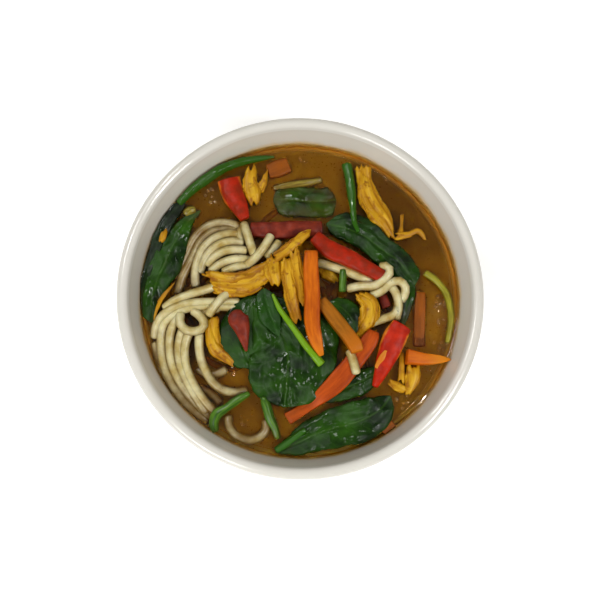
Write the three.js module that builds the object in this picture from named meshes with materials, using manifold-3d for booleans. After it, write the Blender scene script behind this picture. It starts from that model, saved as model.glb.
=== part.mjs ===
// A bowl of chicken thukpa: a white porcelain bowl, filled to 11 mm below its rim with brown broth that holds
// wheat noodles, spinach leaves, carrot and red pepper batons and torn chicken.
// Millimetres, +Z up. The origin is the centre of the bowl's foot.

import * as THREE from 'three';
import { mergeVertices } from 'three/addons/utils/BufferGeometryUtils.js';
import { ImprovedNoise } from 'three/addons/math/ImprovedNoise.js';
import Module from 'manifold-3d';

const wasm = await Module();
wasm.setup();

// ---- driving dimensions -------------------------------------------------------------------------

const RIM_RADIUS = 77.5;
const RIM_HEIGHT = 66;
const LIP_THICKNESS = 5;
const LIP_ROUND = 2.2;
const FLOOR_HEIGHT = 8;
const FOOT_RADIUS = 37;
const FOOT_WIDTH = 4;
const FOOT_RECESS = 3.5;
const BROTH_LEVEL = 55;
const BROTH_RADIUS = 68.2;
const TURN_STEPS = 32;
const WALL_STEPS = 5;

const NOODLE_DIAMETER = 3.9;
const NOODLE_SIDES = 5;
const NOODLE_STEP = 8;
const CARROT_HEIGHT = 6;
const PEPPER_WALL = 3.2;
const PEPPER_ARCH = 1.1;
const CHICKEN_HEIGHT = 4.5;
const CHICKEN_FLATNESS = 0.62;
const CHICKEN_ROUGHNESS = 0.2;
const LEAF_THICKNESS = 0.8;
const LEAF_ACROSS = 4;
const LEAF_ALONG = 6;
const LEAF_DROP = 0.14;
const LEAF_WAVE = 2.1;
const LEAF_RIPPLE = 0.6;
const LEAF_SIDES_APART = 8;
const STEM_SIDES = 5;

const GAP = 0.3;

const COLOURS = {
  porcelain: { color: 0xdedcd8, roughness: 0.15 },
  broth: { color: 0x6b4414, roughness: 0.08 },
  noodle: { color: 0xcfc492, roughness: 0.4 },
  leaf: { color: 0x27471f, roughness: 0.3 },
  stem: { color: 0x3f6b22, roughness: 0.35 },
  carrot: { color: 0xd0620f, roughness: 0.35 },
  pepper: { color: 0xa82a16, roughness: 0.25 },
  chicken: { color: 0xd09a20, roughness: 0.5 },
  onion: { color: 0x8a7d24, roughness: 0.3 },
};

// ---- solids -------------------------------------------------------------------------------------

// Turns a closed geometry into a solid: only positions are kept, shared corners are merged, and the flat
// triangles that a pole leaves are dropped.
function solidOf(geometry) {
  geometry.deleteAttribute('normal');
  geometry.deleteAttribute('uv');
  const merged = mergeVertices(geometry);
  const corners = merged.index.array;
  const kept = [];
  for (let i = 0; i < corners.length; i += 3) {
    const [a, b, c] = corners.slice(i, i + 3);
    if (a !== b && b !== c && c !== a) kept.push(a, b, c);
  }
  const vertProperties = new Float32Array(merged.getAttribute('position').array);
  const triVerts = new Uint32Array(kept);
  return new wasm.Manifold(new wasm.Mesh({ numProp: 3, vertProperties, triVerts }));
}

function geometryOf(solid) {
  const mesh = solid.getMesh();
  const geometry = new THREE.BufferGeometry();
  geometry.setAttribute('position', new THREE.BufferAttribute(mesh.vertProperties, 3));
  geometry.setIndex(new THREE.BufferAttribute(mesh.triVerts, 1));
  geometry.computeVertexNormals();
  return geometry;
}

// A lathe turned about Z from a profile of [radius, height] pairs, lowest point on the axis first.
function turned(profile) {
  const points = profile.map(([radius, height]) => new THREE.Vector2(radius, height));
  return solidOf(new THREE.LatheGeometry(points, TURN_STEPS).rotateX(Math.PI / 2));
}

// A curve through a few points, and what holds at any distance along it: the frame that a section rides on,
// where `across` stays level and `up` leans with the slope, and the sizes that follow each point's place.
// Past its ends the curve runs on straight.
function spineFrame(points) {
  const knots = points.map(([x, y, z]) => new THREE.Vector3(x, y, z));
  const curve = new THREE.CatmullRomCurve3(knots, false, 'centripetal');
  const length = curve.getLength();
  const spans = points.length - 1;
  const frameAt = (distance) => {
    const along = THREE.MathUtils.clamp(distance / length, 0, 1);
    const tangent = curve.getTangentAt(along);
    const beyond = distance - along * length;
    const origin = curve.getPointAt(along).addScaledVector(tangent, beyond);
    const across = new THREE.Vector3(0, 0, 1).cross(tangent).normalize();
    const up = tangent.clone().cross(across);
    const knot = curve.getUtoTmapping(along) * spans;
    const before = Math.min(Math.floor(knot), spans - 1);
    const sizes = points[before]
      .slice(3)
      .map((size, i) => THREE.MathUtils.lerp(size, points[before + 1][i + 3], knot - before));
    return { origin, across, up, sizes };
  };
  return { length, frameAt };
}

// The distance at a fraction of the way along, with the two ends pushed out by `grow`.
function stretched(fraction, length, grow) {
  if (fraction === 0) return -grow;
  return fraction === 1 ? length + grow : fraction * length;
}

function placed(frame, across, up) {
  return frame.origin.clone().addScaledVector(frame.across, across).addScaledVector(frame.up, up);
}

// Carries a unit section along a spine. It is as wide as the spine says and `flatness` of that high, up to
// `tallest`; `arch` raises its middle and `rough` is how uneven it is. `grow` makes it larger all round.
function swept(section, points, shape, grow) {
  const { tallest, flatness = 1, arch = 0, rough = 0, seed = 0, steps = points.length - 1 } = shape;
  const { length, frameAt } = spineFrame(points);
  const noise = new ImprovedNoise();
  const geometry = new THREE.ExtrudeGeometry(section, { depth: 1, steps, bevelEnabled: false });
  const position = geometry.getAttribute('position');
  for (let i = 0; i < position.count; i++) {
    const along = position.getZ(i);
    const lump = 1 + rough * noise.noise(3 * position.getX(i) + seed, 3 * position.getY(i), 5 * along + seed);
    const frame = frameAt(stretched(along, length, grow));
    const halfWidth = (frame.sizes[0] / 2) * lump;
    const halfHeight = Math.min(halfWidth * flatness, tallest / 2);
    const x = position.getX(i) * (halfWidth + grow);
    const rise = 1 - THREE.MathUtils.clamp(x / halfWidth, -1, 1) ** 2;
    const y = position.getY(i) * (halfHeight + grow) + Math.min(arch, halfWidth) * rise;
    position.setXYZ(i, ...placed(frame, x, y).toArray());
  }
  return solidOf(geometry);
}

// ---- sections, each inside a square of side 2 ----------------------------------------------------

function roundSection(sides) {
  const corners = [];
  for (let i = 0; i < sides; i++) {
    const angle = (2 * Math.PI * (i + 0.5)) / sides;
    corners.push(new THREE.Vector2(Math.cos(angle), Math.sin(angle)));
  }
  return new THREE.Shape(corners);
}

// A knife-cut baton: a square with its corners just taken off.
function batonSection() {
  const flat = 0.8;
  const above = [[1, flat], [flat, 1], [-flat, 1], [-1, flat]];
  const below = above.map(([x, y]) => [-x, -y]);
  return new THREE.Shape([...above, ...below].map(([x, y]) => new THREE.Vector2(x, y)));
}

// A cut of pepper wall: a band with enough points across its width to take the arch.
function bandSection() {
  const across = [-1, -0.5, 0, 0.5, 1];
  const lower = across.map((x) => new THREE.Vector2(x, -1));
  const upper = across.map((x) => new THREE.Vector2(x, 1)).reverse();
  return new THREE.Shape([...lower, ...upper]);
}

// Torn meat: a flat oval with grooves between its fibres.
function shredSection() {
  const ridges = 4;
  const groove = 0.78;
  const corners = [];
  for (let i = 0; i < 2 * ridges; i++) {
    const angle = (Math.PI * i) / ridges;
    const reach = i % 2 ? groove : 1;
    corners.push(new THREE.Vector2(reach * Math.cos(angle), reach * Math.sin(angle)));
  }
  return new THREE.Shape(corners);
}

// ---- kinds of piece: each gives its name, its colour and its solid, as large as `grow` asks --------

function carrot(name, points) {
  const build = (grow) => swept(batonSection(), points, { tallest: CARROT_HEIGHT }, grow);
  return { name, colour: 'carrot', build };
}

function pepper(name, points) {
  const build = (grow) => swept(bandSection(), points, { tallest: PEPPER_WALL, arch: PEPPER_ARCH }, grow);
  return { name, colour: 'pepper', build };
}

// One torn piece of meat: several slabs that grew together.
function chicken(name, slabs) {
  const build = (grow) => {
    const solids = slabs.map((points, seed) => {
      const shape = { tallest: CHICKEN_HEIGHT, flatness: CHICKEN_FLATNESS, rough: CHICKEN_ROUGHNESS, seed };
      return swept(shredSection(), points, shape, grow);
    });
    return solids.reduce((whole, slab) => whole.add(slab));
  };
  return { name, colour: 'chicken', build };
}

function stalk(points, grow) {
  return swept(roundSection(STEM_SIDES), points, { tallest: Infinity }, grow);
}

function stem(name, points) {
  return { name, colour: 'stem', build: (grow) => stalk(points, grow) };
}

function onion(name, points) {
  return { name, colour: 'onion', build: (grow) => stalk(points, grow) };
}

// A wavy blade about its midrib. Its edges sag by more the farther they reach.
function blade(points, grow) {
  const { length, frameAt } = spineFrame(points);
  const face = new THREE.PlaneGeometry(2, 1, LEAF_ACROSS, LEAF_ALONG);
  const grid = face.getAttribute('position');
  const corners = [];
  for (const side of [1, -1]) {
    for (let i = 0; i < grid.count; i++) {
      const u = grid.getX(i);
      const distance = stretched(grid.getY(i) + 0.5, length, grow);
      const frame = frameAt(distance);
      const [left, right] = frame.sizes;
      const reach = u > 0 ? left : right;
      const wave = LEAF_RIPPLE * Math.sin(distance / LEAF_WAVE + LEAF_SIDES_APART * Math.sign(u));
      const sag = LEAF_DROP * reach * (wave - 1) * u * u;
      const across = u * reach + (Math.abs(u) === 1 ? u * grow : 0);
      corners.push(...placed(frame, across, sag + side * (LEAF_THICKNESS / 2 + grow)).toArray());
    }
  }
  return solidOf(closedSheet(corners, face.index.array, grid.count));
}

// A spinach leaf, with the stalk it grew on where that shows.
function spinach(name, points, stalkPoints = null) {
  const build = (grow) => {
    const leafBlade = blade(points, grow);
    return stalkPoints ? leafBlade.add(stalk(stalkPoints, grow)) : leafBlade;
  };
  return { name, colour: 'leaf', build };
}

// Two like faces, joined round their edge. The first face looks down its own normals.
function closedSheet(corners, triangles, count) {
  const index = [];
  const row = LEAF_ACROSS + 1;
  for (let i = 0; i < triangles.length; i += 3) {
    const [a, b, c] = triangles.slice(i, i + 3);
    index.push(a, c, b, a + count, b + count, c + count);
  }
  const rim = [];
  for (let i = 0; i < LEAF_ACROSS; i++) rim.push(i);
  for (let i = 0; i < LEAF_ALONG; i++) rim.push(LEAF_ACROSS + i * row);
  for (let i = LEAF_ACROSS; i > 0; i--) rim.push(LEAF_ALONG * row + i);
  for (let i = LEAF_ALONG; i > 0; i--) rim.push(i * row);
  rim.forEach((from, i) => {
    const to = rim[(i + 1) % rim.length];
    index.push(to, from, from + count, to, from + count, to + count);
  });
  const geometry = new THREE.BufferGeometry();
  geometry.setAttribute('position', new THREE.Float32BufferAttribute(corners, 3));
  geometry.setIndex(index);
  return geometry;
}

// ---- the bowl and its broth -----------------------------------------------------------------------

const INNER_WALL = new THREE.SplineCurve([
  new THREE.Vector2(RIM_RADIUS - LIP_THICKNESS, RIM_HEIGHT - LIP_ROUND),
  new THREE.Vector2(BROTH_RADIUS + GAP, BROTH_LEVEL),
  new THREE.Vector2(63, 38),
  new THREE.Vector2(54, 21.5),
  new THREE.Vector2(38, 10.5),
  new THREE.Vector2(0, FLOOR_HEIGHT),
]);

const OUTER_WALL = new THREE.SplineCurve([
  new THREE.Vector2(FOOT_RADIUS + 1.5, 5.5),
  new THREE.Vector2(55, 16.5),
  new THREE.Vector2(66.5, 33),
  new THREE.Vector2(73, 48),
  new THREE.Vector2(RIM_RADIUS, RIM_HEIGHT - LIP_ROUND),
]);

function lipArc(steps) {
  const middle = RIM_RADIUS - LIP_THICKNESS / 2;
  const points = [];
  for (let i = 1; i < steps; i++) {
    const angle = (Math.PI * i) / steps;
    const radius = middle + (LIP_THICKNESS / 2) * Math.cos(angle);
    points.push([radius, RIM_HEIGHT - LIP_ROUND + LIP_ROUND * Math.sin(angle)]);
  }
  return points;
}

function bowl() {
  const footInner = FOOT_RADIUS - FOOT_WIDTH;
  const foot = [[0, FOOT_RECESS], [footInner - 1, FOOT_RECESS], [footInner, 0], [FOOT_RADIUS, 0]];
  const outside = OUTER_WALL.getPoints(WALL_STEPS).map((p) => p.toArray());
  const inside = INNER_WALL.getPoints(WALL_STEPS).map((p) => p.toArray());
  return turned([...foot, ...outside, ...lipArc(4), ...inside]);
}

// The space that the bowl keeps clear of its contents: everything outside its inner wall less the gap.
function bowlKeepOut() {
  const far = RIM_RADIUS + 20;
  const inside = INNER_WALL.getPoints(WALL_STEPS).map((p) => [Math.max(p.x - GAP, 0), p.y + GAP]);
  inside[0][1] = RIM_HEIGHT + 20;
  return turned([[0, 0], [far, 0], [far, RIM_HEIGHT + 20], ...inside]);
}

function broth() {
  const wall = INNER_WALL.getPoints(WALL_STEPS).filter((p) => p.y < BROTH_LEVEL);
  const wetted = wall.map((p) => [Math.max(p.x - GAP, 0), p.y + GAP]).reverse();
  return turned([...wetted, [BROTH_RADIUS, BROTH_LEVEL], [0, BROTH_LEVEL]]);
}

// ---- the noodles ----------------------------------------------------------------------------------

// The strands that show, by where they run: over the left half in nested arcs, down the left wall and back
// under the big leaf, and in a loose tangle at the right.
const STRANDS = [
  [[-27, 33, 54.5], [-40, 32, 54], [-47, 24, 54], [-52, 12, 53.5], [-55, 1, 53.5]],
  [[-26, 28, 55], [-38, 27, 56.5], [-44, 17, 57], [-45, 3, 56.5]],
  [[-23, 23, 56], [-36, 23, 57.5], [-42, 14, 57.5], [-40, 5, 55]],
  [[-21, 19, 56], [-32, 19, 57.5], [-39, 11, 56.5]],
  [[-20, 15, 56], [-29, 15, 58], [-37, 9, 56.5]],
  [[-26, 33, 56], [-23, 26, 59.5], [-20, 17, 59.5]],
  [[-12, 28, 55.5], [-18, 19, 61.5], [-26, 11, 60]],
  [[-8, 25, 55.5], [-14, 16, 57.5]],
  [[-46, 16, 55], [-50, 8, 55.5], [-50, -3, 55.5]],
  [[-33, 3, 55], [-47, 0, 60], [-57, -6, 58.5], [-61, -16, 56]],
  [[-33, -3, 56], [-43, -3, 60], [-53, -6, 60], [-59, -13, 57]],
  [[-57, -10, 56], [-58, -21, 55], [-56, -34, 54], [-49, -45, 53.5], [-41, -52, 53]],
  [[-55, -11, 57], [-55, -23, 56.5], [-52, -36, 55.5], [-44, -46, 54]],
  [[-50, -11, 57], [-51, -24, 57], [-47, -37, 56], [-37, -49, 54.5]],
  [[-42, -14, 57], [-42, -28, 56.5], [-36, -37, 55.5], [-22, -40, 54.5]],
  [[-46, -5, 60], [-50, -10, 61], [-48, -15, 61], [-41, -15, 60], [-43, -9, 58.5]],
  [[-29, -41, 52], [-31, -51, 54], [-28, -59, 54], [-21, -61, 54], [-14, -57, 54], [-14, -44, 52]],
  [[24, 0, 53], [32, 4, 60], [38, 9, 61], [37, 13, 53]],
  [[32, -2, 53], [39, 5, 61], [44, 4, 60.5], [41, -4, 53]],
  [[40, 0, 59.5], [41, -6, 59.5], [37, -11, 57.5], [26, -14, 53]],
  [[12, 14, 53], [22, 11, 57], [30, 7, 57]],
];

// The sunken mass that the strands lie on: a low round-edged cake.
const CORE = { centre: [-7, -6], reach: [53, 44], low: 45, high: 53.5 };

function noodleCore(grow) {
  const { centre, reach, low, high } = CORE;
  const profile = [[0, -1], [0.75, -1], [0.96, -0.4], [1, 0.3], [0.9, 0.85], [0.7, 1], [0, 1]];
  const points = profile.map(([radius, height]) => new THREE.Vector2(radius, height));
  const cake = new THREE.LatheGeometry(points, TURN_STEPS / 2).rotateX(Math.PI / 2);
  cake.scale(reach[0] + grow, reach[1] + grow, (high - low) / 2 + grow);
  cake.translate(...centre, (high + low) / 2);
  return solidOf(cake);
}

function noodleStrand(places, grow) {
  const points = places.map((place) => [...place, NOODLE_DIAMETER]);
  const steps = Math.round(spineFrame(points).length / NOODLE_STEP);
  return swept(roundSection(NOODLE_SIDES), points, { tallest: NOODLE_DIAMETER, steps }, grow);
}

function noodles(grow) {
  return STRANDS.reduce((heap, points) => heap.add(noodleStrand(points, grow)), noodleCore(grow));
}

// ---- what lies on the noodles and in the broth, from the lowest up ----------------------------------
// Each point of a piece is its place and the width there. A leaf has the place of its midrib, and how far the
// blade reaches to the left and to the right of it.

const TOPPINGS = [
  carrot('carrot_strip_05', [[52, 3, 53.4, 4], [51.5, -5.5, 53.2, 5], [51, -21, 52.4, 5]]),
  carrot('carrot_strip_06', [
    [-14.5, 56, 52.9, 6], [-10, 57.5, 53, 7.5], [-5, 59.5, 52.8, 7],
  ]),
  carrot('carrot_strip_07', [[34, -57, 53.6, 4.5], [39, -53, 53.6, 4.5]]),
  onion('onion_strip_01', [
    [-12, 48.6, 54, 2.5], [-4.5, 50.2, 54.3, 3.6], [3, 51.3, 54.3, 3.6], [9.5, 52.8, 54.2, 2.8],
  ]),
  onion('onion_strip_02', [[-50.5, 36, 55.6, 3], [-48.5, 37.5, 55.8, 4], [-45.5, 38.5, 55.6, 3]]),
  spinach('spinach_leaf_03', [
    [-12, 43.5, 54.5, 5.5, 5.5], [-5.5, 43.2, 54.9, 7, 7.5], [2, 42.5, 55, 6.5, 7],
    [9, 42.5, 55, 6.5, 7], [15.5, 43.5, 54.7, 6, 6.5],
  ]),
  spinach(
    'spinach_leaf_01',
    [
      [-50, 42, 56.8, 1.5, 1.5], [-56, 36, 57.2, 3.5, 3], [-60, 28.5, 57.6, 3.5, 3.5],
      [-62.5, 20.5, 57.6, 2.5, 2.5], [-65.5, 11, 57.2, 2, 2], [-67.5, 1.5, 56.4, 1, 1.5],
      [-68, -6, 55.8, 0.5, 1],
    ],
    [
      [-11.5, 62.5, 55.6, 1], [-18, 61.5, 56.4, 2.5], [-25, 60, 56.9, 3.5], [-33, 57, 57.2, 4],
      [-40, 52.5, 57.2, 4.5], [-47, 47, 57, 4], [-53, 40.5, 56.8, 3],
    ],
  ),
  spinach('spinach_leaf_02', [
    [-43.5, 38, 55.8, 1, 1], [-48, 33.5, 56.2, 2, 3], [-52.5, 26.5, 56.8, 5, 5], [-56, 20, 57.2, 7, 6],
    [-59, 13, 57.3, 7, 6.5], [-61.5, 6, 57.2, 5.5, 5], [-63.5, -1, 56.8, 4.5, 4],
    [-63.5, -7.5, 56.2, 3, 4.5], [-63.5, -11.5, 55.8, 1.5, 2],
  ]),
  spinach('spinach_leaf_10', [
    [48.5, 7.5, 56.8, 1.5, 1.5], [46.5, 1.5, 56.6, 3, 2.5], [45.5, -4, 56.2, 2.5, 2.5],
    [44.5, -9, 55.6, 1.5, 2], [43.5, -12.5, 55.2, 1, 1],
  ]),
  stem('spinach_stem_04', [
    [53.5, 11, 56.8, 3], [58.5, 7.5, 56.4, 3], [62.5, 2.5, 56, 3], [64.5, -5, 55.7, 3],
    [64.5, -11, 55.4, 3], [63, -19.5, 54.8, 2.5],
  ]),
  chicken('chicken_05', [
    [
      [-21.5, 57, 56.4, 4.5], [-22, 51.5, 56.4, 6], [-21, 46.5, 56.2, 8], [-20, 41, 55.6, 4],
    ],
    [[-15, 55.5, 56.4, 1.5], [-16, 51, 56.4, 3], [-18, 47, 56.2, 4.5]],
  ]),
  chicken('chicken_06', [
    [
      [27.5, 58.5, 55.2, 6.5], [28, 51, 55.9, 7], [30, 43.5, 56.6, 9.5], [34, 36.5, 57, 9.5],
      [37.5, 31, 56.8, 6], [40, 26, 56.4, 1.5],
    ],
  ]),
  chicken('chicken_07', [
    [[44.5, 37.5, 55.4, 1.5], [44, 32, 55.6, 1.5], [43.5, 28, 56, 3]],
    [[42, 27, 56, 4], [47, 28, 56.2, 2.5], [51, 29.5, 56, 2.5], [54.5, 26, 55.4, 1.5]],
  ]),
  chicken('chicken_10', [
    [[43, -23, 56.8, 2], [43, -30, 56.8, 2.5], [42.5, -37, 56.6, 3.5]],
    [
      [48, -29, 56.4, 5], [47.5, -35, 56.6, 6.5], [46, -39.5, 56.4, 4], [44.5, -42.5, 56, 2],
    ],
    [[37.5, -36.5, 56.8, 2.5], [41, -38.5, 56.8, 4], [45, -40, 56.6, 3]],
  ]),
  pepper('pepper_strip_01', [
    [-31.5, 52, 56, 10], [-29.5, 45, 56.6, 9.5], [-26.5, 39, 57, 7.5], [-24, 33.5, 57.2, 4],
  ]),
  pepper('pepper_strip_02', [
    [-22, 29.5, 56.2, 6], [-12.5, 29, 56.6, 7.5], [-1.5, 29.5, 56.8, 7.5], [9.5, 30, 57, 6],
  ]),
  pepper('pepper_strip_06', [[35, 1, 55.6, 4], [37, -4.5, 55.6, 4.5]]),
  spinach(
    'spinach_leaf_04',
    [
      [11, 32, 58, 2, 2.5], [18, 30, 58.6, 7.5, 5], [26, 27, 59, 8, 5.5], [34.5, 21, 58.9, 6, 6],
      [42.5, 15, 58.3, 6, 7], [47.5, 8.5, 57.4, 5, 4], [49.5, 5.5, 56.8, 2, 1.5],
    ],
    [
      [20, 59.5, 56, 4.5], [21, 54, 56.9, 4], [22, 46.5, 57.8, 4], [22.5, 40, 58.8, 3],
      [23, 33, 59.1, 2.5], [25, 28, 59.2, 2],
    ],
  ),
  chicken('chicken_08', [
    [
      [24.5, 0.5, 59.6, 3.5], [29, -4, 60, 8], [28.5, -10, 59.6, 8], [25.5, -15.5, 58.6, 4],
      [22.5, -19.5, 57.8, 1.5],
    ],
  ]),
  chicken('chicken_09', [
    [
      [-37, -10, 58.8, 4.5], [-37.5, -16, 59, 6], [-36.5, -22, 58.6, 6], [-32.5, -26, 58, 4.5],
      [-28, -29.5, 57.2, 2],
    ],
  ]),
  spinach('spinach_leaf_09', [
    [9.5, -44.5, 56.6, 2, 2], [17.5, -40, 57.2, 5, 4.5], [25, -36.5, 57.6, 5.5, 5.5],
    [31.5, -33, 57.4, 3.5, 3.5], [34.5, -32, 57, 1.5, 1.5],
  ]),
  carrot('carrot_strip_03', [
    [31, -15, 58.8, 4.5], [29.5, -18.5, 58.8, 7], [22.5, -28, 58.4, 8], [16, -36, 58, 8.5],
    [10.5, -41, 57, 7], [5, -45.5, 55.2, 5], [-0.5, -49, 53.9, 5], [-5.5, -52, 52.8, 5.5],
  ]),
  carrot('carrot_strip_04', [
    [44.5, -26, 59.4, 6.5], [52.5, -27, 58.8, 5], [59, -27, 58.2, 3.5], [64, -27, 57.6, 0.5],
  ]),
  pepper('pepper_strip_04', [
    [43, -12.4, 60, 8.5], [40, -17.5, 60.2, 10], [37.5, -23.5, 59.8, 9.5], [34.8, -30, 59, 7],
    [32.8, -35, 58, 4.5], [31.2, -38.7, 57.2, 2.5],
  ]),
  spinach(
    'spinach_leaf_08',
    [
      [-10.5, -66, 56.2, 1.5, 1], [-2, -62.5, 57, 5, 5], [7.5, -58, 58.2, 7.5, 7.5],
      [16, -55.5, 59, 8.5, 8.5], [25, -53, 59.2, 8.5, 9], [33, -48.5, 58.8, 7, 7],
      [38, -42.5, 57.8, 2, 2],
    ],
    [[-10.5, -65.5, 56.2, 3], [-6, -62.5, 57, 3], [2, -56.5, 58, 2.5]],
  ),
  stem('spinach_stem_01', [
    [-21.5, -41.5, 58.6, 2], [-26, -44, 58.4, 3.5], [-31, -47.5, 57.8, 3.5], [-35.5, -50.5, 57, 4.5],
    [-36.5, -54.5, 56, 4], [-35.5, -57.5, 54.8, 3],
  ]),
  stem('spinach_stem_02', [
    [-16, -43, 58.4, 2.5], [-14.5, -47, 57.8, 4], [-13, -52, 57, 4], [-11, -56, 56, 3.5],
    [-9.5, -60.5, 54.8, 2.5],
  ]),
  stem('spinach_stem_03', [[18, 11.5, 59.8, 3], [17.5, 1.5, 60, 3]]),
  spinach('spinach_leaf_05', [
    [-20.5, -31, 58, 2.5, 2.5], [-23.5, -24.5, 58.9, 8.5, 8], [-24.5, -16, 59.6, 10.5, 9],
    [-23, -8, 59.6, 8, 8], [-19.5, 0, 59.2, 2.5, 2.5],
  ]),
  pepper('pepper_strip_05', [
    [-26.6, -6.6, 61.4, 2], [-26.6, -10.3, 61.6, 8.6], [-25, -14.5, 61.4, 6.8],
    [-23.9, -19.5, 61, 3.8], [-23, -24.3, 60.6, 1],
  ]),
  spinach('spinach_leaf_07', [
    [12, -3, 59.8, 2.5, 2.5], [17.5, -5.5, 60, 5, 5], [22, -10.5, 59.8, 5.5, 4.5],
    [23, -16, 59.4, 1.5, 1.5],
  ]),
  pepper('pepper_strip_03', [
    [5.5, 25.5, 61.8, 5.5], [11.5, 20, 61.8, 7.5], [20, 16, 61.6, 7.5], [27.5, 12, 61.2, 6.5],
    [35, 8, 60.6, 5.5],
  ]),
  spinach('spinach_leaf_06', [
    [-17.5, -0.5, 60.2, 3.5, 4], [-12.5, -9.5, 60.6, 13, 9.5], [-7, -19.5, 60.8, 22.5, 15],
    [-5.5, -28, 60.6, 21, 16.5], [-6, -36.5, 60, 17, 16], [-6.5, -43, 59.2, 13, 13],
    [-7, -47.5, 58.6, 6, 6],
  ]),
  carrot('carrot_strip_02', [
    [8, -2.5, 62.6, 5], [13, -9, 62.8, 6], [18, -15.5, 63.2, 6], [22.5, -22, 63.8, 6],
    [23.5, -25, 63.8, 5],
  ]),
  spinach(
    'spinach_leaf_11',
    [
      [-15.7, 2.5, 62.4, 2.5, 2.5], [-15, -2.5, 62.8, 5, 4.5], [-13, -9, 63, 5, 5],
      [-10.3, -15.5, 62.8, 2, 2.5], [-9.3, -18, 62.6, 1, 1],
    ],
    [
      [-12.2, 0, 62.8, 1.2], [-9.2, -6.5, 63.6, 2.2], [-4, -13.8, 63.8, 2.6],
      [1.2, -21, 63.8, 3], [8.6, -30.2, 63.2, 3.5],
    ],
  ),
  chicken('chicken_01', [
    [
      [-40.5, 9.5, 59.6, 3], [-32.5, 7, 61.2, 5], [-24, 7.5, 61.8, 5], [-17, 10.5, 62.2, 5.5],
      [-10.5, 13, 62.6, 5.5],
    ],
    [
      [-37, 3.5, 59.6, 5], [-29.5, 2, 60.4, 6], [-22, 2, 61.2, 5], [-17, 4.5, 61.6, 3.5],
    ],
    [[-12, 16, 62.6, 5], [-12, 9.5, 63, 7.5], [-10.5, 3.5, 62.6, 4]],
    [
      [-38.5, 6.5, 59.2, 5], [-31, 5, 60.4, 8.5], [-23, 5, 61.1, 8], [-17, 7.5, 61.5, 7],
      [-12.5, 10, 61.9, 5],
    ],
  ]),
  chicken('chicken_04', [
    [[4, 27, 63.8, 2.5], [-1.5, 23, 64.2, 4.5], [-7, 18, 64, 5], [-11.5, 15, 63.4, 4]],
  ]),
  chicken('chicken_03', [
    [[-6.5, 15, 64.2, 5], [-5.5, 7, 64, 6], [-4, -2.5, 63.4, 6], [-1.5, -12, 62.6, 4]],
    [
      [-3, 19, 64.4, 4], [-2, 10.5, 64.4, 5], [-0.5, 3, 64.1, 4], [0.5, -4.5, 63.5, 2],
    ],
  ]),
  carrot('carrot_strip_01', [
    [4, 18, 66.2, 5.5], [4, 9, 66, 6.5], [4.5, -1.5, 65.6, 6.5], [4.5, -12.5, 65.2, 6.5],
    [6, -20, 64.6, 5.5], [8.5, -26.5, 64, 2],
  ]),
];

// ---- fitting and naming -----------------------------------------------------------------------------

// The largest of the bodies that a cut leaves; its crumbs are dropped.
function largest(solid) {
  const bodies = solid.decompose();
  return bodies.reduce((best, body) => (body.volume() > best.volume() ? body : best));
}

// Each piece gives way, by the gap, to the bowl and to every piece that lies on it.
function fitted(pieces, keepOut) {
  const pressing = pieces.map((piece) => piece.build(GAP));
  return pieces.map((piece, i) => {
    const held = piece.build(0).subtract(keepOut);
    const cut = pressing.slice(i + 1).reduce((solid, above) => solid.subtract(above), held);
    return { ...piece, solid: largest(cut) };
  });
}

function meshOf({ name, colour, solid }) {
  const material = new THREE.MeshStandardMaterial({ ...COLOURS[colour], metalness: 0 });
  const mesh = new THREE.Mesh(geometryOf(solid), material);
  mesh.name = name;
  return mesh;
}

const contents = [
  { name: 'broth', colour: 'broth', build: broth },
  { name: 'noodles', colour: 'noodle', build: noodles },
  ...TOPPINGS,
];

const part = new THREE.Group();
part.add(meshOf({ name: 'bowl', colour: 'porcelain', solid: bowl() }));
part.add(...fitted(contents, bowlKeepOut()).map(meshOf));

export default part;
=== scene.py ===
"""Looks of a bowl of chicken thukpa: noodle soup with spinach, carrot, red pepper and torn chicken.

Every food piece follows a short route through a few points, given in millimetres in the part's own frame: a
section is carried along the route, or a leaf blade is laid over it.
"""

import math
import random
from bisect import bisect_right

import bmesh
import bpy
from mathutils import Matrix, Vector, noise


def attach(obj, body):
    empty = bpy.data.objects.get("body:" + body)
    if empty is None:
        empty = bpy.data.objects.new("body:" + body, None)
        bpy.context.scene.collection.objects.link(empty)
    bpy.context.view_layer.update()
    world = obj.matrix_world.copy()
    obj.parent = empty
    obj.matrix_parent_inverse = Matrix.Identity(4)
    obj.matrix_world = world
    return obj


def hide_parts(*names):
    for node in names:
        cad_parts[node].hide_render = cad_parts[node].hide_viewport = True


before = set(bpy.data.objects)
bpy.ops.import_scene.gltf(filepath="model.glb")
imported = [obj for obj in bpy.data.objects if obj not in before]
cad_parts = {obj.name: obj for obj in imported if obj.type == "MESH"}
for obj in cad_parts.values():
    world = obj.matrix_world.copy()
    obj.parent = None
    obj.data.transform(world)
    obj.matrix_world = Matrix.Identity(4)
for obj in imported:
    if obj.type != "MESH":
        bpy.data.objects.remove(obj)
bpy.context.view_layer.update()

bl_info = {
    "name": "Bowl of thukpa",
    "version": (1, 0, 0),
    "blender": (4, 5, 0),
    "location": "3D Viewport > Sidebar > Thukpa",
    "description": "Builds a porcelain bowl of noodle soup, its toppings, its materials and a plain stage",
    "category": "Add Mesh",
}

MM = 0.001
BODY = "root"

# ---- the bowl and the broth, in millimetres ---------------------------------------------------------

RIM_RADIUS = 77.5
RIM_HEIGHT = 66
LIP_THICKNESS = 5
LIP_ROUND = 2.2
FLOOR_HEIGHT = 8
FOOT_RADIUS = 37
FOOT_WIDTH = 4
FOOT_RECESS = 3.5
BROTH_LEVEL = 55
BROTH_RADIUS = 68.2
MENISCUS_RISE = 0.7
MENISCUS_REACH = 2.4
CLEAR_DEPTH = 2.5
SHELF_RISE = 1.2
TURN_STEPS = 128
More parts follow.
